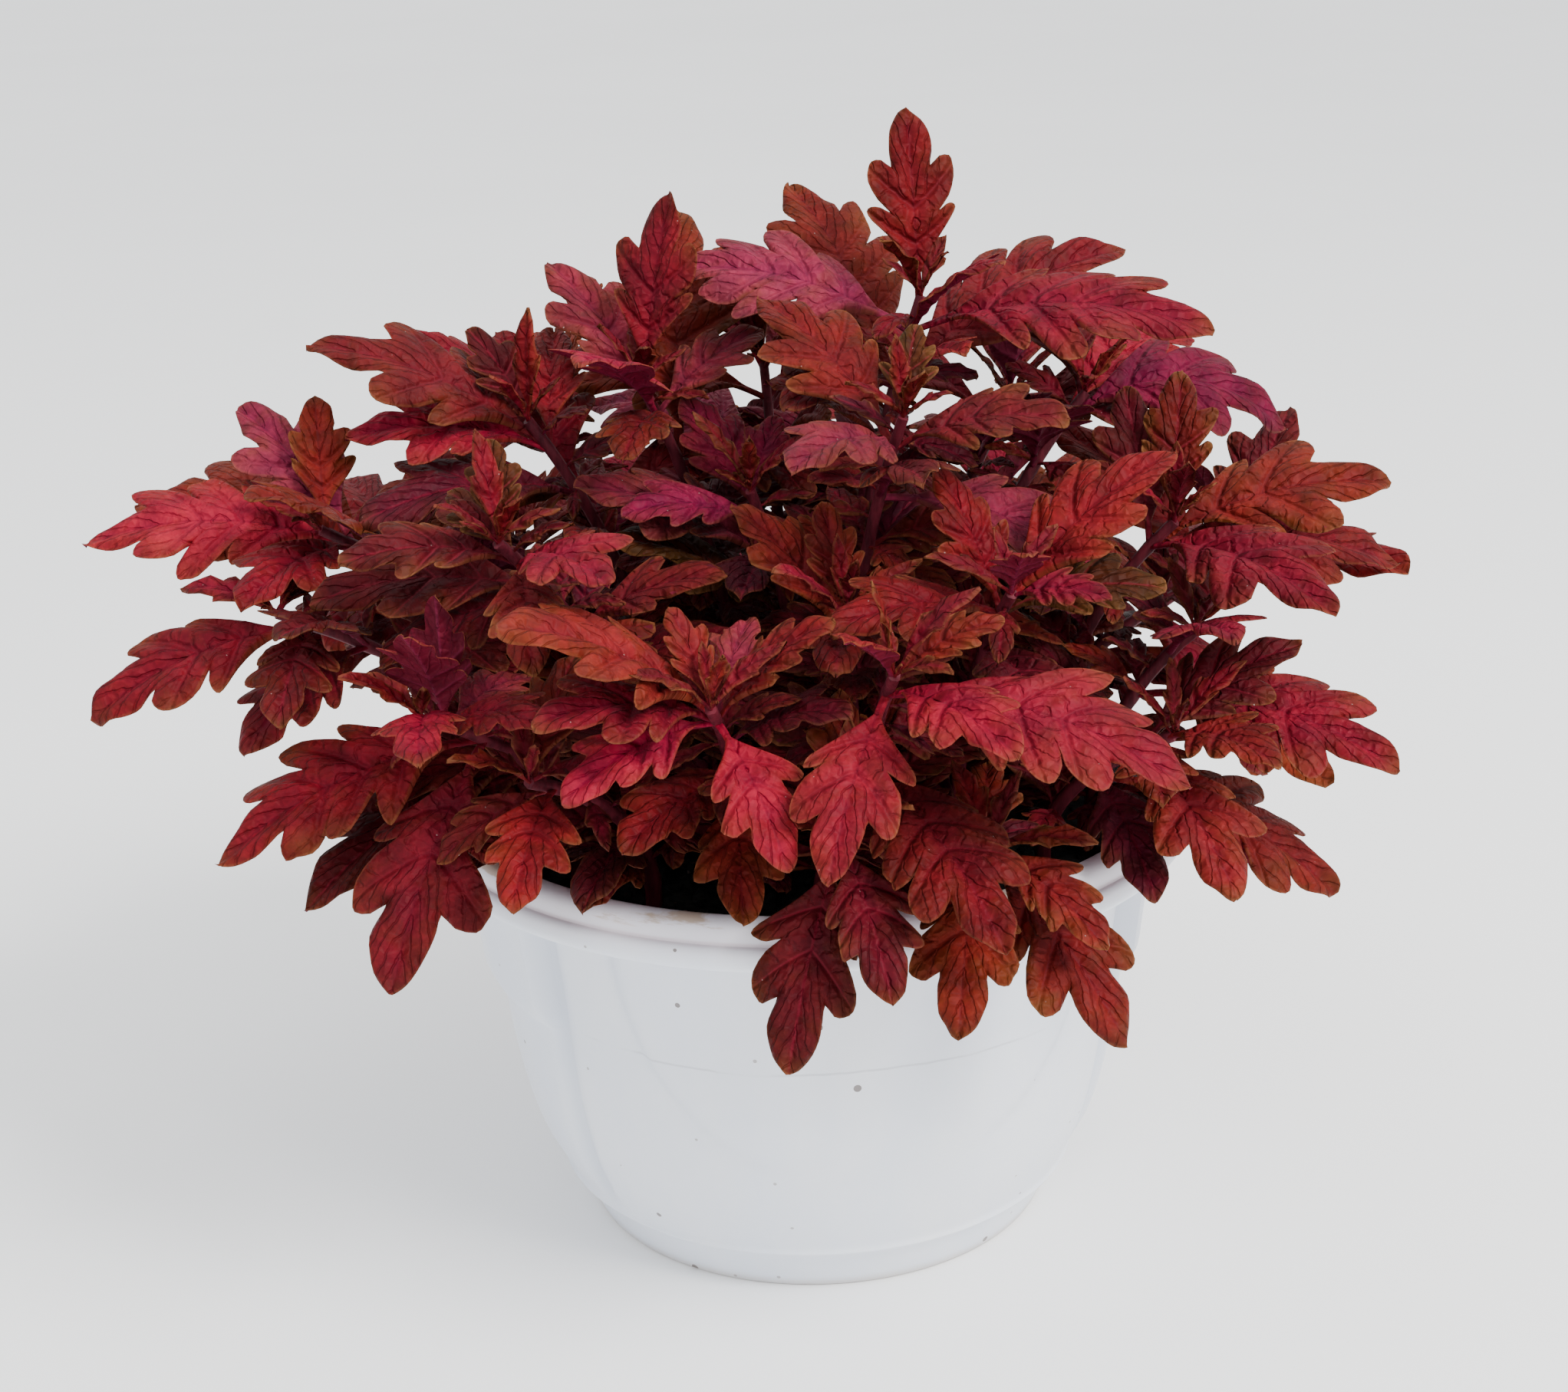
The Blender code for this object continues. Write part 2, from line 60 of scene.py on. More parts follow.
# Bowl pot
# A thin bowl moulded in white plastic. It stands on a foot band set in below a step. Its wall has
# petal panels in front and behind and a lug on each side, and its rim is rolled in two rings.
foot_radius = 76.8 * mm
foot_top_radius = 82.3 * mm
foot_height = 16.0 * mm
wall = 2.0 * mm
floor_thickness = 2.5 * mm
# How far the underside stands off the floor inside its ring
hollow = 0.9 * mm
# Where the outer wall starts above the bead, and where the inner one ends below the lip
wall_start = 21.0 * mm
lip_foot = 128.0 * mm
# Radius and height of the lowest point of the inner wall
inner_foot = (79.0 * mm, 13.0 * mm)
# Height and radius of the wall, mm
bowl = ((16.6, 84.8), (25.0, 89.2), (40.0, 95.0), (60.0, 99.4), (80.0, 101.9), (98.0, 103.6),
        (130.5, 107.6))
# Radius and height round the rim, from its lower edge over both rings to the inner lip, mm
rim = ((121.2, 131.4), (123.6, 132.4), (124.9, 134.2), (125.0, 136.5), (124.6, 138.6),
       (123.6, 139.7), (122.8, 140.0), (122.5, 140.9), (122.4, 142.6), (121.8, 144.8),
       (120.5, 146.2), (118.6, 146.9), (116.2, 146.8), (114.2, 145.8), (112.6, 143.6),
       (110.8, 140.6), (109.0, 137.6), (107.4, 134.8))
# Radius and height of the small bead over the foot's step, mm
step_bead = ((84.6, 16.1), (86.1, 16.6), (86.9, 17.6), (86.6, 18.7), (86.8, 20.0))
pot_steps = 256
# Panels: how far they are turned, half widths, how far they stand out, width of their edges
panel_turn = radians(9.5)
petal_half = radians(45)
side_half = radians(30.5)
crease_half = radians(1.9)
petal_lift = 3.0 * mm
side_lift = 1.0 * mm
lug_lift = 5.0 * mm
crease_depth = 1.8 * mm
panel_edge = radians(3.0)
petal_top = 124.0 * mm
petal_reach = 77.0 * mm
# Height at which each form begins to leave the wall, and over how much height it does
petal_rise = (44.0 * mm, 26.0 * mm)
side_rise = (20.0 * mm, 14.0 * mm)
lug_rise = (86.0 * mm, 6.0 * mm)
crease_rise = (18.0 * mm, 9.0 * mm)
# Painted shade along the petals' flanks: the height where it begins, the height it grows over, its
# strength
flank_shade_rise = (50.0 * mm, 30.0 * mm)
flank_shade_share = 0.6
# The stretch of wall that the forms lie on
wall_foot = 16.5 * mm
wall_top = 130.8 * mm
drain_radius = 4.5 * mm
drain_ring = 48.0 * mm
drains = 4


def pick(*things):
    """Select these objects alone and make the first one active."""
    bpy.ops.object.select_all(action="DESELECT")
    for thing in things:
        thing.select_set(True)
    bpy.context.view_layer.objects.active = things[0]


def through(points, steps):
    """Smooth curve through points, with this many steps from each one to the next."""
    p = np.asarray(points, float)
    p = np.vstack([2 * p[0] - p[1], p, 2 * p[-1] - p[-2]])
    t = np.linspace(0.0, 1.0, steps, endpoint=False)[:, None]
    spans = []
    for a, b, c, d in zip(p, p[1:], p[2:], p[3:]):
        bend = 2 * a - 5 * b + 4 * c - d + t * (3 * (b - c) + d - a)
        spans.append(b + 0.5 * t * (c - a + t * bend))
    return np.vstack(spans + [p[-2:-1]])


def soft(value):
    """Soft step from 0 to 1."""
    value = np.clip(value, 0.0, 1.0)
    return value * value * (3.0 - 2.0 * value)


def spun(name, profile, steps):
    """Turn a profile of radius and height once round the upright axis and close it."""
    mesh = bpy.data.meshes.new(name)
    mesh.from_pydata([(r, 0.0, z) for r, z in profile],
                     [(i, i + 1) for i in range(len(profile) - 1)], [])
    thing = bpy.data.objects.new(name, mesh)
    bpy.context.collection.objects.link(thing)
    pick(thing)
    bpy.ops.object.mode_set(mode="EDIT")
    bpy.ops.mesh.select_all(action="SELECT")
    bpy.ops.mesh.spin(steps=steps, angle=2 * pi, center=(0.0, 0.0, 0.0), axis=(0.0, 0.0, 1.0))
    bpy.ops.mesh.select_all(action="SELECT")
    bpy.ops.mesh.remove_doubles(threshold=0.01 * mm)
    bpy.ops.mesh.normals_make_consistent(inside=False)
    bpy.ops.object.mode_set(mode="OBJECT")
    return thing


def points_of(thing):
    """A mesh's points as an array."""
    points = np.empty(3 * len(thing.data.vertices))
    thing.data.vertices.foreach_get("co", points)
    return points.reshape(-1, 3)


def move_points(thing, points):
    """Put a mesh's points back."""
    thing.data.vertices.foreach_set("co", np.ascontiguousarray(points).ravel())
    thing.data.update()


bowl_curve = through(bowl, 5) * mm
inner_wall = [(r - wall, z) for z, r in bowl_curve[::-2]
              if foot_height + 6 * mm < z < lip_foot]
pot_profile = [(0.0, hollow), (40 * mm, hollow), (70.5 * mm, hollow), (71.5 * mm, 0.0),
               (foot_radius - hollow, 0.0), (foot_radius, 0.8 * mm),
               (0.5 * (foot_radius + foot_top_radius), 0.5 * foot_height),
               (foot_top_radius, foot_height - 0.6 * mm), (foot_top_radius + 0.4 * mm, foot_height)]
pot_profile += [tuple(p) for p in through(step_bead, 2) * mm]
pot_profile += [(r, z) for z, r in bowl_curve if z > wall_start]
pot_profile += [(108.2 * mm, 131.0 * mm), (119.8 * mm, 131.0 * mm)]
pot_profile += [tuple(p) for p in through(rim, 2) * mm]
pot_profile += inner_wall + [inner_foot, (foot_radius - wall, 5.0 * mm),
                             (foot_radius - 2 * wall, floor_thickness), (40 * mm, floor_thickness),
                             (0.0, floor_thickness)]
pot = spun("bowl_pot", pot_profile, pot_steps)


def risen(high, rise):
    """Soft step up, from 0 below a height to 1 a little above it."""
    return soft((high - rise[0]) / rise[1])


def pot_relief(points):
    """How far the wall's panels stand out at these points, and where painted shade lies in the
    creases and along the petals' flanks.
    """
    high = points[:, 2]
    angle = np.arctan2(points[:, 1], points[:, 0]) - panel_turn
    quarter = np.round(angle / (pi / 2))
    turn = np.abs(angle - quarter * pi / 2)
    sides = quarter % 2 == 0
    # In front and behind a U-shaped petal, on each side a plain panel with a lug, creases between
    drop = ((petal_top - high) / petal_reach).clip(0.0, 1.0)
    to_petal = petal_half * np.sqrt(1.0 - drop ** 2) - turn
    petal = petal_lift * soft(to_petal / panel_edge) * risen(high, petal_rise)
    panel = side_lift * risen(high, side_rise) + lug_lift * risen(high, lug_rise)
    panel *= soft((side_half - turn) / panel_edge)
    to_crease = np.where(sides, turn - side_half, turn - (pi / 2 - side_half))
    crease = np.exp(-(to_crease / crease_half) ** 2) * risen(high, crease_rise)
    # Painted shade also runs in a band along the flanks of the front and back petals
    flank_shade = np.exp(-((to_petal - 0.5 * panel_edge) / crease_half) ** 2)
    flank_shade *= flank_shade_share * risen(high, flank_shade_rise) * ~sides
    # The mark says where painted shade darkens the wall, in the creases and along the petals'
    # flanks
    mark = np.maximum(crease, flank_shade) * (high < wall_top)
    return np.where(sides, panel, petal) - crease_depth * crease, mark


spots = points_of(pot)
radius = np.hypot(spots[:, 0], spots[:, 1])
outer = radius > np.interp(spots[:, 2], bowl_curve[:, 0], bowl_curve[:, 1]) - 0.5 * wall
outer &= (spots[:, 2] > wall_foot) & (spots[:, 2] < wall_top)
spots[:, :2] *= (1.0 + pot_relief(spots)[0] * outer / np.maximum(radius, mm))[:, None]
move_points(pot, spots)
for k in range(drains):
    drain_angle = 2 * pi * (k + 0.5) / drains
    bpy.ops.mesh.primitive_cylinder_add(
        vertices=24, radius=drain_radius, depth=4 * floor_thickness,
        location=(drain_ring * cos(drain_angle), drain_ring * sin(drain_angle), 0.0))
    drill = bpy.context.object
    cut = pot.modifiers.new("drain", "BOOLEAN")
    cut.operation = "DIFFERENCE"
    cut.object = drill
    pick(pot)
    bpy.ops.object.modifier_apply(modifier=cut.name)
    bpy.data.objects.remove(drill, do_unlink=True)
# Painted shade: the mark of the creases and the petals' flanks is kept on the points
creases = pot.data.attributes.new("pot_crease_shade", "FLOAT", "POINT")
creases.data.foreach_set("value", pot_relief(points_of(pot))[1])
pick(pot)
bpy.ops.object.shade_smooth_by_angle(angle=radians(35))


def fill(tree, made, inputs):
    """Set a node's inputs to values or links."""
    for key, value in inputs.items():
        if isinstance(value, bpy.types.NodeSocket):
            tree.links.new(value, made.inputs[key])
        else:
            made.inputs[key].default_value = value


def add_node(tree, kind, inputs=None, **options):
    """Add a shader node, set its options and fill its inputs with values or links."""
    made = tree.nodes.new("ShaderNode" + kind)
    for key, value in options.items():
        setattr(made, key, value)
    fill(tree, made, inputs or {})
    return made


def calc(tree, operation, *values, clamp=False):
    """Work out a number from one to three values or links."""
    return add_node(tree, "Math", dict(enumerate(values)), operation=operation,
                    use_clamp=clamp).outputs[0]


def fade(tree, value, start, end):
    """Soft mask that goes from 0 at start to 1 at end."""
    made = add_node(tree, "MapRange", {"Value": value, "From Min": start, "From Max": end},
                    interpolation_type="SMOOTHSTEP")
    return made.outputs["Result"]


def blend(tree, share, first, second):
    """Mix two colours."""
    made = add_node(tree, "Mix", {0: share, 6: first, 7: second}, data_type="RGBA")
    return made.outputs[2]


def times(tree, value, share):
    """Scale a value or a link."""
    return calc(tree, "MULTIPLY", value, share)


def away(tree, value, centre):
    """How far a value is from another."""
    return calc(tree, "ABSOLUTE", calc(tree, "SUBTRACT", value, centre))


def rgb(red, green, blue):
    """Colour with full alpha."""
    return (red, green, blue, 1.0)


def tinted(tree, colour, mask, share, target):
    """Lay one colour over another where a mask lets it, up to this share."""
    return blend(tree, times(tree, mask, share), colour, rgb(*target))


def toned(tree, colour, factor, share=1.0):
    """Multiply one colour by another."""
    made = add_node(tree, "Mix", {0: share, 6: colour, 7: factor}, data_type="RGBA",
                    blend_type="MULTIPLY")
    return made.outputs[2]


def moved(tree, place, **how):
    """Shift or stretch the place that a pattern reads."""
    return add_node(tree, "Mapping", {0: place, **how}).outputs[0]


def new_group(name, inputs, outputs):
    """Start a node group from its inputs (name, kind, value) and outputs (name, kind)."""
    group = bpy.data.node_groups.new(name, "ShaderNodeTree")
    for label, kind, value in inputs:
        socket = group.interface.new_socket(label, in_out="INPUT", socket_type="NodeSocket" + kind)
        if value is not None:
            socket.default_value = value
    for label, kind in outputs:
        group.interface.new_socket(label, in_out="OUTPUT", socket_type="NodeSocket" + kind)
    sources = group.nodes.new("NodeGroupInput").outputs
    return group, sources, group.nodes.new("NodeGroupOutput").inputs


def place_group(tree, group, inputs):
    """Put a node group into a material."""
    made = tree.nodes.new("ShaderNodeGroup")
    made.node_tree = group
    fill(tree, made, inputs)
    return made.outputs


def new_material(name, **sockets):
    """Start a material and set the shader's plain sockets."""
    material = bpy.data.materials.new(name)
    material.use_nodes = True
    shader = material.node_tree.nodes["Principled BSDF"]
    for key, value in sockets.items():
        shader.inputs[key.replace("_", " ")].default_value = value
    return material, material.node_tree, shader


# Small grains of dirt or dust that lie scattered over a surface
specks, s_in, s_out = new_group(
    "specks", (("Vector", "Vector", None), ("Scale", "Float", 100.0), ("Size", "Float", 0.2),
               ("Share", "Float", 0.2)), (("Mask", "Float"),))
cells = add_node(specks, "TexVoronoi", {"Vector": s_in["Vector"], "Scale": s_in["Scale"]})
chance = add_node(specks, "SeparateColor", {0: cells.outputs["Color"]})
picked = calc(specks, "LESS_THAN", chance.outputs[0], s_in["Share"])
grain = calc(specks, "MULTIPLY", s_in["Size"], calc(specks, "ADD", chance.outputs[1], 0.4))
inner = calc(specks, "LESS_THAN", cells.outputs["Distance"], grain)
specks.links.new(calc(specks, "MULTIPLY", picked, inner), s_out["Mask"])

# Uneven tone, as of a surface that is not equally clean or equally coloured all over
mottle, m_in, m_out = new_group(
    "mottle", (("Vector", "Vector", None), ("Scale", "Float", 20.0), ("Low", "Color", rgb(0, 0, 0)),
               ("High", "Color", rgb(1, 1, 1))), (("Color", "Color"), ("Value", "Float")))
clouds = add_node(mottle, "TexNoise", {"Vector": m_in["Vector"], "Scale": m_in["Scale"],
                                       "Detail": 5.0, "Roughness": 0.6})
cloud_share = fade(mottle, clouds.outputs["Fac"], 0.3, 0.7)
mottle.links.new(blend(mottle, cloud_share, m_in["Low"], m_in["High"]), m_out["Color"])
mottle.links.new(cloud_share, m_out["Value"])



def uneven(tree, place, scale, low, high):
    """Tone that drifts between two colours, as the outputs of the mottle group."""
    return place_group(tree, mottle, {"Vector": place, "Scale": scale, "Low": rgb(*low),
                                      "High": rgb(*high)})


def grains(tree, place, scale, size, share):
    """Mask of scattered grains, from the specks group."""
    return place_group(tree, specks, {"Vector": place, "Scale": scale, "Size": size,
                                      "Share": share})["Mask"]


def dress(tree, shader, colour, strength, depth, height):
    """Give a shader its colour and its small relief."""
    tree.links.new(colour, shader.inputs["Base Color"])
    skin = add_node(tree, "Bump", {"Strength": strength, "Distance": depth, "Height": height})
    tree.links.new(skin.outputs[0], shader.inputs["Normal"])


groove_height = 140.3 * mm
tide_height = 89.5 * mm
plastic, tree, shader = new_material("white_plastic", Roughness=0.40, Specular_IOR_Level=0.4)
here = add_node(tree, "TexCoord").outputs["Object"]
high = add_node(tree, "SeparateXYZ", {0: here}).outputs["Z"]
white = uneven(tree, here, 14.0, (0.735, 0.77, 0.84), (0.795, 0.82, 0.87))
# Faint bluish streaks that water left down the wall
runs = uneven(tree, moved(tree, here, Scale=(34.0, 34.0, 3.0)), 1.0, (0.86, 0.91, 1.0),
              (1.02, 1.01, 1.0))
colour = toned(tree, white["Color"], runs["Color"], 0.3)
# Painted shade: the creases and the petals' flanks are tinted bluish grey
crease = add_node(tree, "Attribute", attribute_name="pot_crease_shade").outputs["Fac"]
colour = tinted(tree, colour, crease, 0.42, (0.46, 0.52, 0.62))
# Rim tinted greyer lilac towards its top, partly soil showing through it and partly painted shade
colour = tinted(tree, colour, fade(tree, high, 133 * mm, 142 * mm), 0.55, (0.70, 0.62, 0.665))
# Painted shadow in the hollow between the rim's two rings
groove = fade(tree, away(tree, high, groove_height), 1.0 * mm, 0.2 * mm)
colour = tinted(tree, colour, groove, 0.35, (0.60, 0.44, 0.47))
# A faint tide mark round the wall, broken here and there
tide = away(tree, calc(tree, "SUBTRACT", high, times(tree, white["Value"], 1.6 * mm)), tide_height)
tide = times(tree, fade(tree, tide, 0.6 * mm, 0.1 * mm), fade(tree, white["Value"], 0.15, 0.6))
colour = tinted(tree, colour, tide, 0.38, (0.34, 0.34, 0.37))
# Brown rub marks on the rim's upper ring
rubs = add_node(tree, "TexNoise", {"Vector": moved(tree, here, Scale=(24.0, 24.0, 150.0)),
                                   "Scale": 1.0, "Detail": 6.0, "Roughness": 0.65})
rub = times(tree, fade(tree, rubs.outputs["Fac"], 0.54, 0.62),
            fade(tree, high, 142.4 * mm, 144.2 * mm))
colour = tinted(tree, colour, rub, 0.7, (0.40, 0.26, 0.13))
# Soil dust along the foot, a painted shadow under the rim, and scattered specks
colour = tinted(tree, colour, fade(tree, high, 4.5 * mm, 0.0), 0.45, (0.46, 0.36, 0.25))
# Painted shadow: a grey band just under the rim's lower edge
rim_shadow = times(tree, fade(tree, high, 126.0 * mm, 131.0 * mm),
                  fade(tree, high, 132.4 * mm, 131.4 * mm))
colour = tinted(tree, colour, rim_shadow, 0.35, (0.42, 0.38, 0.40))
colour = tinted(tree, colour, grains(tree, here, 95.0, 0.10, 0.20), 0.8, (0.085, 0.05, 0.03))
colour = tinted(tree, colour, grains(tree, here, 210.0, 0.10, 0.09), 0.6, (0.2, 0.15, 0.12))
peel = add_node(tree, "TexNoise", {"Vector": here, "Scale": 260.0, "Detail": 2.0})
dress(tree, shader, colour, 0.05, 0.4 * mm, peel.outputs["Fac"])
pot.data.materials.append(plastic)
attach(pot, "root")
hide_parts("pot")

# Potting soil
# Dark, coarse peat and bark that fills the bowl to a little below the rim. Its top is lumpy and
# sinks a little along the wall, with loose crumbs of bark and a few pale bits.
soil_level = 131.0 * mm
soil_gap = 0.35 * mm
# Heights between which the soil follows the bowl's curve
soil_from = 25.0 * mm
soil_to = 126.0 * mm
soil_steps = 168
soil_rings = 44
# Height of the lumps on top, and of their finer grain
lump_height = 1.9 * mm
grain_share = 0.6
# How far the top drops along the wall, and over how much width
wall_drop = 1.2 * mm
wall_reach = 6.0 * mm
crumbs = 760
crumb_sizes = (0.9, 1.2, 1.6, 2.3)


def bowl_inside(z):
    """Radius of the pot's inner wall at a height."""
    return float(np.interp(z, bowl_curve[:, 0], bowl_curve[:, 1])) - wall


def soil_lump(spot):
    """Broad unevenness of the soil's top, about -1 to 1."""
    return noise.fractal(spot * 75.0, 1.0, 2.2, 4)


soil_radius = bowl_inside(soil_level) - 2 * soil_gap
soil_floor = floor_thickness + soil_gap
soil_profile = [(0.0, soil_floor), (foot_radius - 2 * wall - soil_gap, soil_floor),
                (inner_foot[0] - mm, inner_foot[1])]
soil_profile += [(r - wall - soil_gap, z) for z, r in bowl_curve[::3] if soil_from < z < soil_to]
soil_profile += [(soil_radius * (1.0 - k / soil_rings), soil_level) for k in range(soil_rings + 1)]
soil = spun("soil_bed", soil_profile, soil_steps)
spots = points_of(soil)
top = spots[:, 2] > soil_level - 0.1 * mm
for k in np.flatnonzero(top):
    spot = Vector(spots[k])
    spread = min(1.0, (soil_radius - spot.xy.length) / wall_reach)
    lump = soil_lump(spot) + grain_share * noise.noise(spot * 260.0)
    spots[k, 2] += lump * lump_height - wall_drop * (1.0 - spread)
move_points(soil, spots)
bpy.ops.mesh.primitive_ico_sphere_add(subdivisions=2, radius=1.0)
crumb = bpy.context.object
crumb_shape = points_of(crumb)
crumb_faces = np.array([face.vertices for face in crumb.data.polygons])
bpy.data.objects.remove(crumb, do_unlink=True)
soil_draw = random.Random(31)
crumb_points, crumb_all = [], []
for number in range(crumbs):
    size = soil_draw.choice(crumb_sizes) * mm * soil_draw.uniform(0.7, 1.3)
    spot_angle = soil_draw.uniform(0.0, 2 * pi)
    spot_radius = (soil_radius - 3 * mm) * soil_draw.random() ** 0.5
    place = Vector((spot_radius * cos(spot_angle), spot_radius * sin(spot_angle), soil_level))
    place.z += soil_lump(place) * lump_height + 0.25 * size
    stretch = np.array([soil_draw.uniform(0.6, 1.5) for _ in range(3)])
    spin = np.array(Matrix.Rotation(soil_draw.uniform(0, 6.0), 3, "Z")
                    @ Matrix.Rotation(soil_draw.uniform(0, 3.0), 3, "X"))
    rough = 1.0 + 0.22 * np.sin(crumb_shape @ np.array([[5.1], [4.3], [6.2]]) + number)
    crumb_points.append((crumb_shape * rough * stretch * size) @ spin.T + np.array(place))
    crumb_all.append(crumb_faces + number * len(crumb_shape))
crumb_mesh = bpy.data.meshes.new("crumbs")
crumb_mesh.from_pydata(np.vstack(crumb_points).tolist(), [], np.vstack(crumb_all).tolist())
crumb_bed = bpy.data.objects.new("crumbs", crumb_mesh)
bpy.context.collection.objects.link(crumb_bed)
pick(soil, crumb_bed)
bpy.ops.object.join()
bpy.ops.object.shade_smooth_by_angle(angle=radians(50))

peat, tree, shader = new_material("peat", Roughness=0.95, Specular_IOR_Level=0.15)
here = add_node(tree, "TexCoord").outputs["Object"]
earth = uneven(tree, here, 240.0, (0.006, 0.007, 0.007), (0.030, 0.030, 0.028))["Color"]
colour = tinted(tree, earth, grains(tree, here, 190.0, 0.5, 0.14), 0.7, (0.095, 0.050, 0.042))
colour = tinted(tree, colour, grains(tree, here, 260.0, 0.36, 0.07), 0.8, (0.26, 0.19, 0.17))
crumbly = add_node(tree, "TexNoise", {"Vector": here, "Scale": 420.0, "Detail": 6.0,
                                      "Roughness": 0.7})
dress(tree, shader, colour, 0.7, 0.8 * mm, crumbly.outputs["Fac"])
soil.data.materials.append(peat)
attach(soil, "root")
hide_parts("soil")

# Leaf and stem finishes
# A coleus leaf is thin, soft and finely hairy: red tissue puffed up between sunken darker veins,
# an olive flush towards the lobes, a thin gold edge, and a purple underside with raised veins.
# Half widths of the midrib and of a side vein, and the gap and sway of the branches, mm
rib_width = 0.65
vein_width = 0.60
branch_gap = 6.4
branch_sway = 1.1
veins_of, v_in, v_out = new_group(
    "vein_net", (("Veins", "Vector", None), ("Flat", "Vector", None)),
    (("Main", "Float"), ("Fine", "Float"), ("Height", "Float")))
to_vein, along_vein, to_rib = add_node(veins_of, "SeparateXYZ", {0: v_in["Veins"]}).outputs
sway = add_node(veins_of, "TexNoise", {"Vector": v_in["Flat"], "Scale": 0.16, "Detail": 3.0})
sway = times(veins_of, calc(veins_of, "SUBTRACT", sway.outputs["Fac"], 0.5), branch_sway)
rib_mask = fade(veins_of, to_rib, rib_width, 0.10)
thinned = calc(veins_of, "ADD", to_vein, times(veins_of, along_vein, 0.012))
main = calc(veins_of, "MAXIMUM", rib_mask, fade(veins_of, thinned, vein_width, 0.08))
# Branches leave the side veins at a slant, and the finest veins close cells between them
branch = calc(veins_of, "DIVIDE", calc(veins_of, "SUBTRACT", along_vein, to_vein), branch_gap)
branch = calc(veins_of, "FRACT", calc(veins_of, "ADD", branch, sway))
branch = away(veins_of, branch, 0.5)
mesh_cells = add_node(veins_of, "TexVoronoi", {
    "Vector": v_in["Flat"], "Scale": 0.30, "Randomness": 0.85}, feature="DISTANCE_TO_EDGE")
cell_edge = mesh_cells.outputs["Distance"]
fine = calc(veins_of, "MAXIMUM", times(veins_of, fade(veins_of, branch, 0.055, 0.01), 0.8),
            times(veins_of, fade(veins_of, cell_edge, 0.09, 0.01), 0.7))
trough = calc(veins_of, "MAXIMUM", fade(veins_of, to_vein, 1.6, 0.1),
              times(veins_of, fade(veins_of, branch, 0.16, 0.0), 0.7))
dome = times(veins_of, fade(veins_of, cell_edge, 0.0, 0.5), 0.6)
bumps = calc(veins_of, "SUBTRACT", dome, times(veins_of, trough, 0.7))
veins_of.links.new(main, v_out["Main"])
veins_of.links.new(fine, v_out["Fine"])
veins_of.links.new(bumps, v_out["Height"])


def leaf_inputs(tree):
    """A leaf's own maps: way to its veins, flat place, way to its edge, tissue and flush."""
    veins = add_node(tree, "Attribute", attribute_name="leaf_veins").outputs["Vector"]
    flat = add_node(tree, "Attribute", attribute_name="leaf_flat").outputs["Vector"]
    tone = add_node(tree, "Attribute", attribute_name="leaf_tone")
    split = add_node(tree, "SeparateXYZ", {0: flat})
    flat_place = moved(tree, flat, Scale=(1.0, 1.0, 0.0))
    return veins, flat_place, split.outputs["Z"], tone.outputs["Color"], tone.outputs["Alpha"]


leaf_top, tree, shader = new_material("leaf_upper", Roughness=0.55, Specular_IOR_Level=0.07)
veins, flat_place, to_edge, tissue, flush = leaf_inputs(tree)
net = place_group(tree, veins_of, {"Veins": veins, "Flat": flat_place})
cloud = uneven(tree, flat_place, 0.075, (0.66, 0.62, 0.72), (1.24, 1.20, 1.08))
fine_cloud = uneven(tree, flat_place, 0.5, (0.86, 0.84, 0.86), (1.12, 1.14, 1.08))
colour = toned(tree, toned(tree, tissue, cloud["Color"]), fine_cloud["Color"])
# Browner patches lie between the side veins
patches = add_node(tree, "TexNoise", {"Vector": moved(tree, flat_place, Location=(40.0, 9.0, 0.0)),
                                      "Scale": 0.11, "Detail": 4.0})
to_side = add_node(tree, "SeparateXYZ", {0: veins}).outputs[0]
patch = times(tree, fade(tree, patches.outputs["Fac"], 0.47, 0.62), fade(tree, to_side, 0.7, 3.0))
colour = blend(tree, times(tree, patch, 0.5), colour, toned(tree, colour, rgb(0.62, 1.35, 0.42)))
# Veins are darker on bright leaves and pinker on dark ones
bright = fade(tree, add_node(tree, "SeparateColor", {0: tissue}).outputs[0], 0.075, 0.15)
vein_dark = toned(tree, colour, rgb(0.40, 0.30, 0.52))
vein_colour = blend(tree, bright, rgb(0.15, 0.006, 0.018), vein_dark)
colour = blend(tree, times(tree, net["Fine"], 0.24), colour, vein_dark)
colour = blend(tree, times(tree, net["Main"], 0.42), colour, vein_colour)
# The flush is patchy, and the thin edge shows most where it reaches the margin
flush_share = calc(tree, "ADD", times(tree, cloud["Value"], 0.8), 0.25)
flush_mask = calc(tree, "MULTIPLY", flush, flush_share, clamp=True)
colour = blend(tree, flush_mask, colour, rgb(0.105, 0.045, 0.012))
edge = times(tree, fade(tree, to_edge, 0.62, 0.10),
             calc(tree, "ADD", times(tree, flush_mask, 0.4), 0.16))
colour = blend(tree, edge, colour, rgb(0.21, 0.085, 0.032))
dust = grains(tree, flat_place, 0.42, 0.075, 0.09)
colour = tinted(tree, colour, dust, 0.45, (0.42, 0.32, 0.30))
dress(tree, shader, colour, 0.9, 1.3 * mm, net["Height"])

leaf_under, tree, shader = new_material(
    "leaf_underside", Roughness=0.62, Specular_IOR_Level=0.08)
veins, flat_place, to_edge, tissue, flush = leaf_inputs(tree)
net = place_group(tree, veins_of, {"Veins": veins, "Flat": flat_place})
purple = uneven(tree, flat_place, 0.09, (0.065, 0.004, 0.014), (0.13, 0.009, 0.026))["Color"]
colour = blend(tree, 0.35, purple, tissue)
colour = tinted(tree, colour, net["Main"], 0.6, (0.17, 0.014, 0.045))
colour = tinted(tree, colour, net["Fine"], 0.4, (0.05, 0.003, 0.013))
dress(tree, shader, colour, 0.7, 1.0 * mm, times(tree, net["Height"], -1.0))

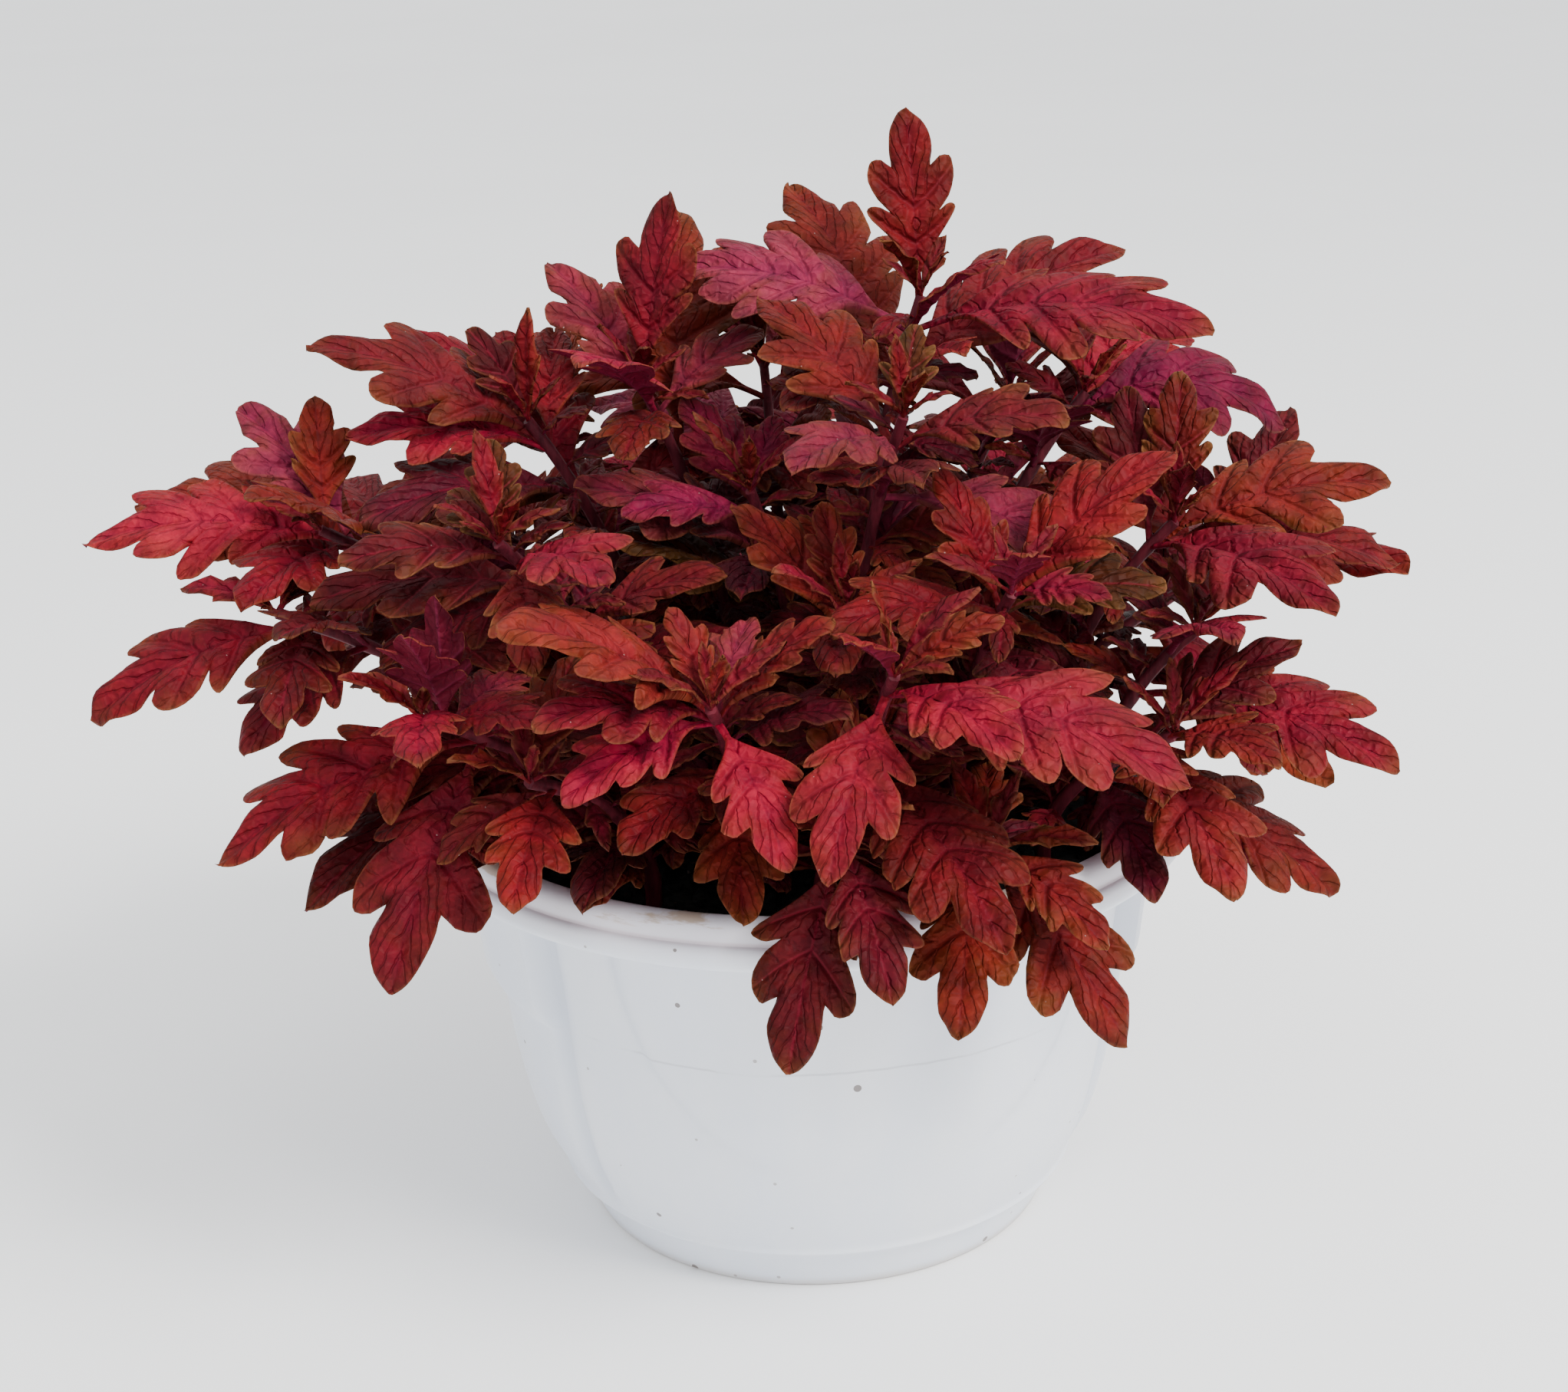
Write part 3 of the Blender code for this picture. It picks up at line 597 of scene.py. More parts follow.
stem_skin, tree, shader = new_material("stem_skin", Roughness=0.5, Specular_IOR_Level=0.12)
here = add_node(tree, "TexCoord").outputs["Object"]
bark = uneven(tree, moved(tree, here, Scale=(1.0, 1.0, 0.12)), 330.0, (0.045, 0.005, 0.010),
              (0.12, 0.014, 0.024))
dress(tree, shader, bark["Color"], 0.4, 0.3 * mm, bark["Value"])

# Leafy shoots
# Thirty square stems stand in the soil, each with crossed pairs of stalked, lobed leaves. Every
# leaf grows from its stem, and is bent clear of whatever stands round it, the front ones first.
# Stem: depth in the soil, half its width at the foot and the tip, and its straight start
root_depth = 22.0 * mm
stem_foot = 2.5 * mm
stem_tip = 1.5 * mm
stem_rings = 6
straight_start = 6.0 * mm
# How far below the tip each pair of leaves springs
node_drops = (2.0 * mm, 12.0 * mm, 30.0 * mm, 52.0 * mm, 75.0 * mm)
stalk_share = 0.15
stalk_half_width = 1.3 * mm
stalk_half_thickness = 0.9 * mm
leaf_steps = 10
# Leaf: usual arch, roll towards the light (degrees), half width over length, cup across
usual_arch = 45.0
light_roll = 28.0
half_width = 0.305
cup_rise = 0.14
cup_droop = 9.5
# Lengths at which a leaf gets another set of lobes
long_leaf = 84.0 * mm
small_leaf = 60.0 * mm
# Plain outline of a blade: share of its length, share of its half width, midrib point it joins
envelope_side = ((0.00, 0.15, 0), (0.34, 0.98, 0), (0.60, 1.10, 1), (0.84, 0.62, 1))
midrib = (0.16, 0.40)
# Room kept round a blade, and what is tried to find it: turns (degrees), then shorter lengths
clear_half = 1.6 * mm
turns = (6, 12, 18, 25, 33, 42, 52)
trims = (1.0, 0.85, 0.7)
# Height and radius of the plain shape that stands in for the pot and its soil, mm
pot_outline = ((0.0, 76.8), (60.0, 106.0), (128.0, 113.0), (131.0, 126.5), (148.5, 126.5),
               (148.5, 108.0), (131.0, 106.0))
pot_sides = 32

# Each front shoot: foot on the soil, tip of the stem (mm), its leaves as node, azimuth, rise
# (degrees), length (mm) and, where it differs, arch (degrees), and the tone of each leaf
front_shoots = {
    "shoot_rim_front": ((2, -92), (11, -125, 175), (
        (1, -115, -55, 68), (1, -75, -35, 56), (2, -10, 10, 44), (0, 95, 60, 42)),
        "maroon maroon brown rust"),
    "shoot_rim_right": ((42, -80), (50, -115, 165), (
        (1, -100, -35, 64), (0, -45, -25, 48), (1, -45, -35, 72), (0, 85, 15, 40)),
        "orange orange rust rust"),
    "shoot_rim_left": ((-48, -72), (-79, -115, 190), (
        (1, -145, -15, 40), (1, -100, -20, 54), (0, 60, 50, 40)),
        "brown red rust"),
    "shoot_front": ((15, -78), (24, -120, 220), (
        (1, -110, -35, 66), (1, -55, -5, 58), (0, 15, 20, 36), (0, -115, 30, 40),
        (1, -20, -15, 90), (3, -65, -20, 86)),
        "crimson coral orange red crimson deep"),
    "shoot_front_left": ((-20, -72), (-27, -120, 212), (
        (1, -150, 30, 78), (1, -145, 10, 62), (1, -145, -15, 54), (1, -65, -35, 54),
        (1, -5, 40, 46), (0, 130, 55, 32), (1, 75, 25, 42), (2, -35, 20, 48), (3, -125, -5, 56),
        (3, -100, -15, 56)),
        "orange crimson bright coral red orange dusk maroon red rust"),
    "shoot_low_left": ((-72, -50), (-109, -105, 206), (
        (2, -160, -20, 86), (0, -85, 5, 54), (1, -118, 30, 50), (1, -110, 55, 40),
        (1, -68, 30, 52), (1, 60, 0, 42), (2, -115, -45, 82), (3, -150, -25, 80)),
        "red coral crimson red crimson dusk deep maroon"),
    "shoot_low_right": ((72, -52), (109, -70, 181), (
        (1, 15, 25, 60), (0, -60, 5, 52), (1, -70, -25, 66), (2, -5, -30, 86), (2, -75, -25, 56),
        (1, -90, 0, 52)),
        "maroon orange orange orange plum rust"),
    "shoot_left_mid": ((-52, -33), (-87, -80, 250), (
        (0, 100, 50, 34), (1, 135, 25, 36), (1, -60, 5, 60), (1, -160, 5, 54), (2, -170, 0, 72),
        (1, -115, 10, 52), (2, -165, -20, 56)),
        "olive olive crimson brown maroon rust maroon"),
    "shoot_right_centre": ((46, -38), (60, -80, 230), (
        (1, -145, 5, 64), (1, 130, 55, 48), (1, 20, 35, 72), (1, 0, 5, 50), (0, -85, 35, 36),
        (0, -60, 30, 34), (2, -75, -10, 60)),
        "red red red olive crimson crimson maroon"),
    "shoot_centre": ((15, -42), (12, -70, 222), (
        (1, 155, 45, 54), (0, 110, 60, 36), (1, -120, 32, 58), (2, -90, 10, 50)),
        "orange orange deep maroon"),
    "shoot_second": ((12, -22), (31, -50, 276), (
        (1, 130, 30, 72), (1, -120, 5, 64), (0, 75, 45, 34), (1, -20, 10, 56), (2, -45, 20, 76),
        (2, -80, 10, 64)),
        "rust dusk olive brown dusk maroon"),
    "shoot_far_left": ((-80, -30), (-156, -60, 225), (
        (1, -165, -20, 72), (1, -95, -20, 50), (2, -125, 0, 60), (2, -125, -20, 58)),
        "red brown maroon deep"),
    "shoot_far_right": ((90, -28), (120, -40, 204), (
        (2, -30, -10, 88), (1, -80, 20, 64), (0, 65, 10, 40)),
        "crimson crimson maroon"),
    "shoot_left": ((-75, 0), (-148, -20, 239), (
        (0, 100, 60, 44), (1, 140, 35, 64), (1, -180, 0, 86), (2, 155, 5, 106),
        (2, -125, 30, 76), (1, -115, -5, 62)),
        "orange mauve bright orange orange crimson"),
    "shoot_right": ((78, -2), (116, -20, 233), (
        (0, 75, 60, 50), (1, 5, 10, 80), (1, 5, -10, 82), (1, -55, -5, 80), (2, -58, -10, 78),
        (1, 100, 55, 54)),
        "rust orange deep crimson crimson maroon"),
    "shoot_centre_back": ((0, 2), (-15, -20, 247), (
        (1, 130, 40, 50), (0, 70, 35, 32), (1, -118, 42, 50), (2, -165, 25, 72),
        (3, -150, 30, 76), (2, -113, 16, 66), (2, -5, 10, 58)),
        "magenta magenta magenta dusk olive plum dusk"),
    "shoot_top": ((14, 8), (40, 10, 300), (
        (0, 100, 75, 60), (1, 165, 10, 86), (2, 115, 35, 92), (1, -55, 30, 54), (1, -20, 0, 98),
        (2, 25, 20, 94), (2, -65, 20, 52), (2, -110, 20, 58)),
        "red mauve rust red crimson deep red maroon"),
    "shoot_back_left": ((-20, 15), (-48, 0, 277), (
        (1, 135, 40, 66), (0, 60, 70, 62), (1, -100, -5, 50), (1, -110, 25, 66), (2, 90, 45, 98),
        (2, -75, 72, 66), (2, -38, 30, 60), (1, 35, 25, 48)),
        "dusk red brown coral rust maroon maroon dusk"),
    "shoot_upper_left": ((-45, 5), (-83, -10, 269), (
        (1, -175, 25, 82), (1, -170, 5, 64), (0, 140, 45, 38), (2, -150, 0, 76), (1, 90, 30, 54),
        (2, 120, 35, 72)),
        "brown coral maroon plum red red"),
    "shoot_top_right": ((45, 15), (94, 30, 263), (
        (1, 5, 8, 82, 95), (1, 42, 25, 86), (0, 105, 35, 48), (2, -75, 20, 58)),
        "magenta coral maroon maroon"),
}
# Shoots on the far side: foot on the soil and tip of the stem (mm)
back_shoots = {
    "shoot_back_mid": ((-5, 32), (-10, 65, 268)),
    "shoot_back_right": ((36, 38), (74, 78, 250)),
    "shoot_back_upper_left": ((-42, 32), (-86, 66, 246)),
    "shoot_back_far_left": ((-72, 28), (-142, 42, 208)),
    "shoot_back_far_right": ((76, 30), (148, 44, 200)),
    "shoot_rear_left": ((-56, 56), (-104, 116, 192)),
    "shoot_rear_mid": ((-12, 68), (-18, 128, 214)),
    "shoot_rear_right": ((38, 66), (72, 122, 196)),
    "shoot_rear_low_left": ((-28, 90), (-52, 142, 160)),
    "shoot_rear_low_right": ((18, 92), (34, 148, 164)),
}
# Their pairs by one rule: node, rise (degrees) and length (mm), lower on the outer side
back_pairs = ((0, 52, 54), (1, 25, 78), (2, 6, 82), (3, -12, 82))
outer_lean = 12.0
azimuth_jitter = 14.0
rise_jitter = 9.0
length_jitter = 0.12
back_seed = 7
# Colour of each tone's tissue, and how olive its lobes are; some tones hold painted light
# dusk and magenta are partly a painted sheen, the lilac pink of sky light on leaves seen aslant
# maroon and plum are darker partly as painted shade, for leaves that lie in the crown's shadow
# mauve is a painted glow, for a leaf lit from behind
tones = {
    "bright": (0.300, 0.0090, 0.030, 0.45), "coral": (0.215, 0.0055, 0.022, 0.50),
    "crimson": (0.150, 0.0050, 0.016, 0.45), "red": (0.130, 0.0050, 0.010, 0.50),
    "deep": (0.105, 0.0050, 0.010, 0.35), "orange": (0.145, 0.0115, 0.010, 0.65),
    "rust": (0.105, 0.0080, 0.007, 0.80), "brown": (0.092, 0.0065, 0.009, 0.60),
    "dusk": (0.155, 0.0120, 0.030, 0.30), "mauve": (0.220, 0.0190, 0.048, 0.20),
    "magenta": (0.135, 0.0050, 0.026, 0.20), "maroon": (0.072, 0.0040, 0.008, 0.40),
    "plum": (0.070, 0.0050, 0.012, 0.35), "olive": (0.055, 0.0110, 0.005, 0.90),
}
back_tones = ("crimson", "red", "maroon", "orange", "dusk", "brown", "deep", "rust")


def stem_curve(foot, tip, rings):
    """Points up a stem: straight out of the soil, then leaning to its tip."""
    start = Vector((foot[0] * mm, foot[1] * mm, soil_level + straight_start))
    end = Vector(tip) * mm
    knee = start + Vector((0.0, 0.0, 0.55 * (end.z - start.z)))
    path = [Vector((start.x, start.y, soil_level - root_depth))]
    for i in range(rings):
        f = i / (rings - 1)
        path.append(start.lerp(knee, f).lerp(knee.lerp(end, f), f))
    return path


def stem_point(path, drop):
    """The point on a stem that lies this far below its tip, along it."""
    for high, low in zip(reversed(path), list(reversed(path))[1:]):
        span = (high - low).length
        if drop <= span:
            return high.lerp(low, drop / span)
        drop -= span
    return path[0].copy()


def stem_sides(path, i):
    """Directions across a stem at one of its points."""
    last = len(path) - 1
    ahead = (path[min(i + 1, last)] - path[max(i - 1, 0)]).normalized()
    if i < 2:
        ahead = Vector((0.0, 0.0, 1.0))
    across = Vector((0.0, 1.0, 0.0)).cross(ahead).normalized()
    return across, ahead.cross(across)


def stem_block(path, extra):
    """Square tube along a stem, a little wider than the stem."""
    points, faces = [], [(3, 2, 1, 0)]
    last = len(path) - 1
    for i, point in enumerate(path):
        across, along = stem_sides(path, i)
        half = stem_foot + (stem_tip - stem_foot) * max(i - 1, 0) / (last - 1) + extra
        for a, b in ((1, 1), (-1, 1), (-1, -1), (1, -1)):
            points.append(point + across * (a * half) + along * (b * half))
    for i in range(last):
        for k in range(4):
            j = (k + 1) % 4
            faces.append((4 * i + k, 4 * i + j, 4 * i + 4 + j, 4 * i + 4 + k))
    faces.append(tuple(4 * last + k for k in range(4)))
    return points, faces


def leaf_frame(base, azimuth, rise, length, arch):
    """Midrib points with their left and upward directions, from stalk to tip."""
    rows = []
    turn = radians(azimuth)
    roll = radians(light_roll) * cos(turn) * cos(radians(rise))
    point = Vector(base)
    for i in range(leaf_steps + 1):
        slope = radians(rise + arch * (0.5 - i / leaf_steps))
        ahead = Vector((cos(slope) * cos(turn), cos(slope) * sin(turn), sin(slope)))
        level = Vector((-sin(turn), cos(turn), 0.0))
        up = ahead.cross(level)
        rows.append((point.copy(), level * cos(roll) + up * sin(roll),
                     up * cos(roll) - level * sin(roll)))
        point += ahead * (length / leaf_steps)
    return rows


def on_leaf(rows, along, side, lift=0.0):
    """Place a point of the flat leaf: share of the length, metres to the left, metres up."""
    place = min(max(along, 0.0), 1.0) * leaf_steps
    i = min(int(place), leaf_steps - 1)
    f = place - i
    point = rows[i][0].lerp(rows[i + 1][0], f)
    left = rows[i][1].lerp(rows[i + 1][1], f)
    up = rows[i][2].lerp(rows[i + 1][2], f)
    cup = cup_rise * abs(side) - cup_droop * side * side
    return point + left * side + up * (cup + lift)


def envelope(rows, length, half, stalk):
    """Plain thick outline of a leaf, with its stalk or closed at the blade's foot."""
    blade = 1.0 - stalk_share
    width = half_width * blade * length
    flat = [(stalk_share + blade * m, 0.0) for m in midrib]
    left, right, tops = [], [], []
    for along, side, _ in envelope_side:
        left.append(len(flat))
        flat.append((stalk_share + blade * along, side * width))
        right.append(len(flat))
        flat.append((stalk_share + blade * along, -side * width))
    tip = len(flat)
    flat.append((1.0, 0.0))
    for hand, edge in ((1, left), (-1, right)):
        spots = list(zip(edge, (row[2] for row in envelope_side))) + [(tip, len(midrib) - 1)]
        for (p, m), (q, n) in zip(spots, spots[1:]):
            tops.append((m, q, p)[::hand])
            if n != m:
                tops.append((m, n, q)[::hand])
    tops.append((0, left[0], right[0]))
    size = len(flat)
    points = [on_leaf(rows, a, s, half) for a, s in flat]
    points += [on_leaf(rows, a, s, -half) for a, s in flat]
    faces = tops + [tuple(size + v for v in reversed(face)) for face in tops]
    border = left + [tip] + right[::-1]
    for p, q in zip(border, border[1:]):
        faces += [(p, q, size + q), (p, size + q, size + p)]
    mouth = (left[0], right[0], size + right[0], size + left[0])
    if not stalk:
        return points, faces + [mouth]
    first = len(points)
    w, t = stalk_half_width, stalk_half_thickness
    points += [on_leaf(rows, 0.0, side, lift)
               for side, lift in ((w, t), (-w, t), (-w, -t), (w, -t))]
    for k in range(4):
        j = (k + 1) % 4
        faces.append((first + k, first + j, mouth[j], mouth[k]))
    faces.append((first + 3, first + 2, first + 1, first))
    return points, faces


def box(points):
    """Lowest and highest corner of some points."""
    low = [min(p[k] for p in points) for k in range(3)]
    high = [max(p[k] for p in points) for k in range(3)]
    return low, high


taken = []


def take(owner, points, faces):
    """Remember the space that a stem or a blade fills."""
    taken.append((owner, box(points), BVHTree.FromPolygons(points, faces)))


def hits(points, faces, skip=None):
    """Say whether a shape crosses any other, but for those of one shoot."""
    low, high = box(points)
    tree = BVHTree.FromPolygons(points, faces)
    for owner, (other_low, other_high), other in taken:
        if owner == skip:
            continue
        apart = any(low[k] > other_high[k] or high[k] < other_low[k] for k in range(3))
        if not apart and tree.overlap(other):
            return True
    return False


def tries(lengths):
    """Small changes of azimuth, rise and length, the smallest first."""
    for trim in lengths:
        yield 0, 0, trim
        for turn in turns:
            for a, r in ((0, 1), (0, -1), (1, 0), (-1, 0), (1, 1), (-1, -1), (1, -1), (-1, 1)):
                yield a * turn, r * turn, trim


def place_leaf(shoot, base, leaf, half, lengths):
    """Bend a leaf clear of all that stands round it, and return its midrib frame and length."""
    azimuth, rise, length = leaf[:3]
    for turn, lift, trim in tries(lengths):
        slope = rise + lift
        arch = leaf[3] if len(leaf) > 3 else usual_arch * cos(radians(slope))
        long = length * mm * trim
        rows = leaf_frame(base, azimuth + turn, slope, long, arch)
        if hits(*envelope(rows, long, half, True), skip=shoot):
            continue
        blade = envelope(rows, long, half, False)
        if hits(*blade):
            continue
        take(shoot, *blade)
        return rows, long
    return None


def back_leaves(foot, tip, draw):
    """Crossed pairs down a far shoot, each at a right angle to the pair above it."""
    outward = degrees(atan2(tip[1] - foot[1], tip[0] - foot[0]))
    leaves = []
    for k, (node, rise, length) in enumerate(back_pairs):
        for half_turn in (0, 180):
            azimuth = outward + 45 + 90 * k + half_turn + draw.uniform(-1, 1) * azimuth_jitter
            lean = outer_lean * cos(radians(azimuth - outward))
            leaves.append((node, azimuth, rise - lean + draw.uniform(-1, 1) * rise_jitter,
                           length * (1.0 + draw.uniform(-1, 1) * length_jitter)))
    return leaves


def pot_space():
    """Plain turned shape round the pot and its soil that leaves stay clear of."""
    points, faces = [], []
    for z, r in pot_outline:
        for i in range(pot_sides):
            around = 2.0 * pi * i / pot_sides
            points.append(Vector((r * mm * cos(around), r * mm * sin(around), z * mm)))
    for low in range(0, len(points) - pot_sides, pot_sides):
        for i in range(pot_sides):
            j = (i + 1) % pot_sides
            high = low + pot_sides
            faces.append((low + i, low + j, high + j, high + i))
    faces.append(tuple(range(len(points) - pot_sides, len(points))))
    return points, faces


def kind_of(length):
    """Which set of lobes a grown leaf of this length has."""
    if length < small_leaf:
        return "small"
    return "middle" if length < long_leaf else "long"


shoots = {name: (foot, tip, leaves, words.split())
          for name, (foot, tip, leaves, words) in front_shoots.items()}
tone_draw = random.Random(19)
back_draw = random.Random(back_seed)
for name, (foot, tip) in back_shoots.items():
    leaves = back_leaves(foot, tip, back_draw)
    shoots[name] = (foot, tip, leaves, [tone_draw.choice(back_tones) for _ in leaves])
take("pot", *pot_space())
paths = {name: stem_curve(foot, tip, stem_rings) for name, (foot, tip, _, _) in shoots.items()}
for name, path in paths.items():
    take(name, *stem_block(path, clear_half / 2))
grown = {name: [] for name in shoots}
for name, (_, _, leaves, words) in shoots.items():
    for leaf, tone in zip(leaves, words):
        base = stem_point(paths[name], node_drops[leaf[0]])
        placed = place_leaf(name, base, leaf[1:], clear_half, trims)
        if placed:
            grown[name].append((*placed, kind_of(placed[1]), tone))

# Young leaves
# Each stem ends in a tuft of crinkled young leaves, and buds with small leaves sit in the forks
# below it. They fill the crown, and like the big ones they keep clear of their neighbours.
# Tuft, pair by pair: how far below the stem's tip (mm), rise (degrees), length (mm)
tuft_pairs = ((0.5, 46, 29), (0.0, 62, 20), (0.0, 76, 13), (0.0, 84, 8))
tuft_clear = 0.5 * mm
tuft_trims = (1.0, 0.75)
# How far below the tip each whorl of buds sits, mm: two leaves to a whorl at first, then four
bud_drops = (7.0, 20.0, 28.0, 38.0, 48.0, 58.0, 68.0, 80.0, 93.0, 108.0, 124.0)
thin_whorls = 2
short_whorls = 4
short_bud = (17, 28)
long_bud = (30, 52)
bud_clear = 0.8 * mm
bud_trims = (1.0, 0.8, 0.65)
bud_lowest = soil_level + 12 * mm
young_longest = 25 * mm
young_tones = ("crimson", "deep", "red", "rust", "deep", "brown")
# Bud leaves in the forks, deep in the crown, get darker tones as painted shade
shaded_bud_tones = ("maroon", "deep", "brown", "maroon", "rust", "plum")
young_draw = random.Random(5)
for name, path in paths.items():
    start = young_draw.uniform(0.0, 180.0)
    for k, (drop, rise, length) in enumerate(tuft_pairs):
        for half_turn in (0, 180):
            leaf = (start + 90 * k + half_turn, rise + young_draw.uniform(-8, 8),
                    length * young_draw.uniform(0.85, 1.25))
            placed = place_leaf(name, stem_point(path, drop * mm), leaf, tuft_clear, tuft_trims)
            if placed:
                grown[name].append((*placed, "young", young_draw.choice(young_tones)))
    for k, drop in enumerate(bud_drops):
        base = stem_point(path, drop * mm)
        for quarter_turn in (0, 180, 90, 270)[:2 if k < thin_whorls else 4]:
            length = young_draw.uniform(*(short_bud if k < short_whorls else long_bud))
            leaf = (start + 45 + 90 * k + quarter_turn + young_draw.uniform(-20, 20),
                    young_draw.uniform(5, 55), length)
            placed = base.z >= bud_lowest and place_leaf(name, base, leaf, bud_clear, bud_trims)
            if placed:
                kind = "young" if placed[1] < young_longest else "bud"
                grown[name].append((*placed, kind, young_draw.choice(shaded_bud_tones)))

# Leaf blades
# A blade is one thin closed plate with its stalk. Lines run out from the midrib to the margin like
# its side veins, and they reach further where a lobe stands out.
# Margin of each side, lobe by lobe, in blade lengths: where on the midrib a line starts, then how
# far along and how far across it ends
lobes = {
    "long": (
        ((.04, .10, .075), (.08, .20, .165), (.115, .275, .225), (.145, .325, .25),
         (.165, .35, .235), (.185, .345, .19), (.20, .322, .142)),
        ((.235, .39, .225), (.275, .47, .285), (.31, .54, .302), (.34, .575, .28),
         (.365, .57, .215), (.385, .52, .138)),
        ((.43, .59, .205), (.48, .665, .235), (.53, .735, .235), (.56, .77, .205),
         (.585, .755, .145), (.605, .71, .098)),
        ((.67, .775, .104), (.74, .84, .102), (.81, .895, .084), (.88, .945, .057),
         (.94, .98, .030), (1, 1, .004))),
    "middle": (
        ((.05, .12, .085), (.10, .24, .18), (.14, .32, .25), (.17, .375, .274),
         (.195, .405, .258), (.215, .40, .208), (.235, .368, .152)),
        ((.28, .45, .235), (.34, .56, .29), (.39, .645, .295), (.43, .69, .265),
         (.46, .695, .195), (.48, .645, .122)),
        ((.56, .72, .130), (.65, .79, .132), (.74, .86, .112), (.83, .925, .080),
         (.92, .975, .042), (1, 1, .005))),
    "small": (
        ((.06, .14, .095), (.12, .27, .20), (.16, .37, .27), (.19, .43, .288),
         (.215, .46, .266), (.24, .45, .212), (.26, .42, .165)),
        ((.31, .51, .225), (.37, .60, .265), (.41, .67, .262), (.44, .70, .22),
         (.465, .675, .135)),
        ((.54, .735, .140), (.63, .80, .142), (.72, .87, .120), (.81, .93, .086),
         (.90, .975, .047), (1, 1, .005))),
    "bud": (
        ((.08, .16, .10), (.16, .32, .21), (.22, .46, .27), (.26, .53, .26), (.29, .54, .21),
         (.32, .50, .15)),
        ((.40, .62, .155), (.50, .73, .155), (.62, .84, .125), (.80, .95, .07), (1, 1, .006))),
    "young": (
        ((.12, .20, .09), (.25, .42, .17), (.35, .52, .17), (.40, .54, .12)),
        ((.52, .66, .13), (.75, .86, .08), (1, 1, .006))),
}
# Stations from one margin point to the next, columns across each half, stations along the stalk
leaf_grids = {"long": (2, 7, 3), "middle": (2, 7, 3), "small": (2, 6, 3), "bud": (1, 4, 2),
              "young": (1, 4, 2)}
# How much more crumpled the younger blades are
crispness = {"bud": 1.5, "young": 2.0}
# How far the olive flush reaches in from a lobe's tip, mm
flush_reach = 7.5
blade_half = 0.26 * mm
edge_half = 0.12 * mm
blade_foot = (0.0, 0.0, 0.022)
# How much a lobe's reach, its place along the blade and single margin points vary
lobe_reach = (0.82, 1.12)
lobe_slip = 0.022
margin_jitter = 0.055
# Relief of a blade 70 mm long: tissue between the veins, turned lobes, waved margin, puckers
relief_length = 70 * mm
puff_lift = (1.1, 1.9)
puff_width = 2.4
lobe_lift = 2.1 * mm
wave_lift = 1.0 * mm
pucker_lift = 0.24 * mm
# Length from which a stalk has its full width
full_stalk = 55 * mm


def blade_side(kind, draw):
    """Midrib points, margin points, phase in the lobe and lobe number of each station of a side."""
    keys, marks, last = [blade_foot], [0.0], len(lobes[kind]) - 1
    for k, lobe in enumerate(lobes[kind]):
        size = len(lobe)
        crown = size if k == last else 1 + max(range(size), key=lambda i: lobe[i][2])
        reach = draw.uniform(*lobe_reach)
        slip = 0.0 if k == last else draw.uniform(-lobe_slip, lobe_slip)
        for i, (m, x, y) in enumerate(lobe, 1):
            phase = 0.5 * i / crown if i <= crown else 0.5 + 0.5 * (i - crown) / (size - crown)
            swell = sin(pi * phase)
            off = draw.uniform(-margin_jitter, margin_jitter) if i < size else 0.0
            keys.append((m, x + slip * swell + 0.12 * off, y * (1.0 + (reach - 1.0) * swell + off)))
            marks.append(k + phase)
    steps = leaf_grids[kind][0]
    line = through(keys, steps)
    mark = np.interp(np.arange(len(line)) / steps, np.arange(len(marks)), marks)
    number = np.minimum(mark.astype(int), last)
    return np.column_stack([line, mark - number, number])


def distance_to(points, line):
    """Shortest distance from flat points to a line of flat points."""
    a, b = line[:-1], line[1:]
    way = b - a
    reach = np.maximum((way ** 2).sum(1), 1e-12)
    off = points[:, None, :] - a[None]
    share = ((off * way[None]).sum(2) / reach).clip(0.0, 1.0)
    gap = off - share[..., None] * way[None]
    return np.sqrt((gap ** 2).sum(2)).min(1)


plates = {}


def plate_faces(stations, columns):
    """Faces of a closed plate of two alike grids, the upper one first, and which lie underneath."""
    if (stations, columns) not in plates:
        top = np.arange(stations * columns).reshape(stations, columns)
        low = top + stations * columns
        upper = (top[:-1, :-1], top[1:, :-1], top[1:, 1:], top[:-1, 1:])
        upper = np.stack(upper, -1).reshape(-1, 4)
        under = upper[:, ::-1] + stations * columns
        rims = ((top[:-1, -1], top[1:, -1], low[1:, -1], low[:-1, -1]),
                (top[1:, 0], top[:-1, 0], low[:-1, 0], low[1:, 0]),
                (top[0, :-1], top[0, 1:], low[0, 1:], low[0, :-1]),
                (top[-1, 1:], top[-1, :-1], low[-1, :-1], low[-1, 1:]))
        faces = np.vstack([upper, under] + [np.stack(rim_faces, -1) for rim_faces in rims])
        side = np.zeros(len(faces), int)
        side[len(upper):len(upper) + len(under)] = 1
        plates[(stations, columns)] = (faces, side)
    return plates[(stations, columns)]


def blade_grid(left, right, half_columns):
    """Flat points of a blade in blade lengths, and how far out each column lies, -1 to 1."""
    across = np.linspace(0.0, 1.0, half_columns + 1) ** 1.08
    mid = left[:, 0]
    halves = []
    for side, hand in ((right, -1.0), (left, 1.0)):
        x = mid[:, None] + (side[:, 1] - mid)[:, None] * (0.76 * across + 0.24 * across ** 2)
        halves.append((x, hand * side[:, 2][:, None] * across))
    x, y = (np.hstack([first[:, :0:-1], second]) for first, second in zip(*halves))
    return x, y, np.hstack([-across[:0:-1], across])


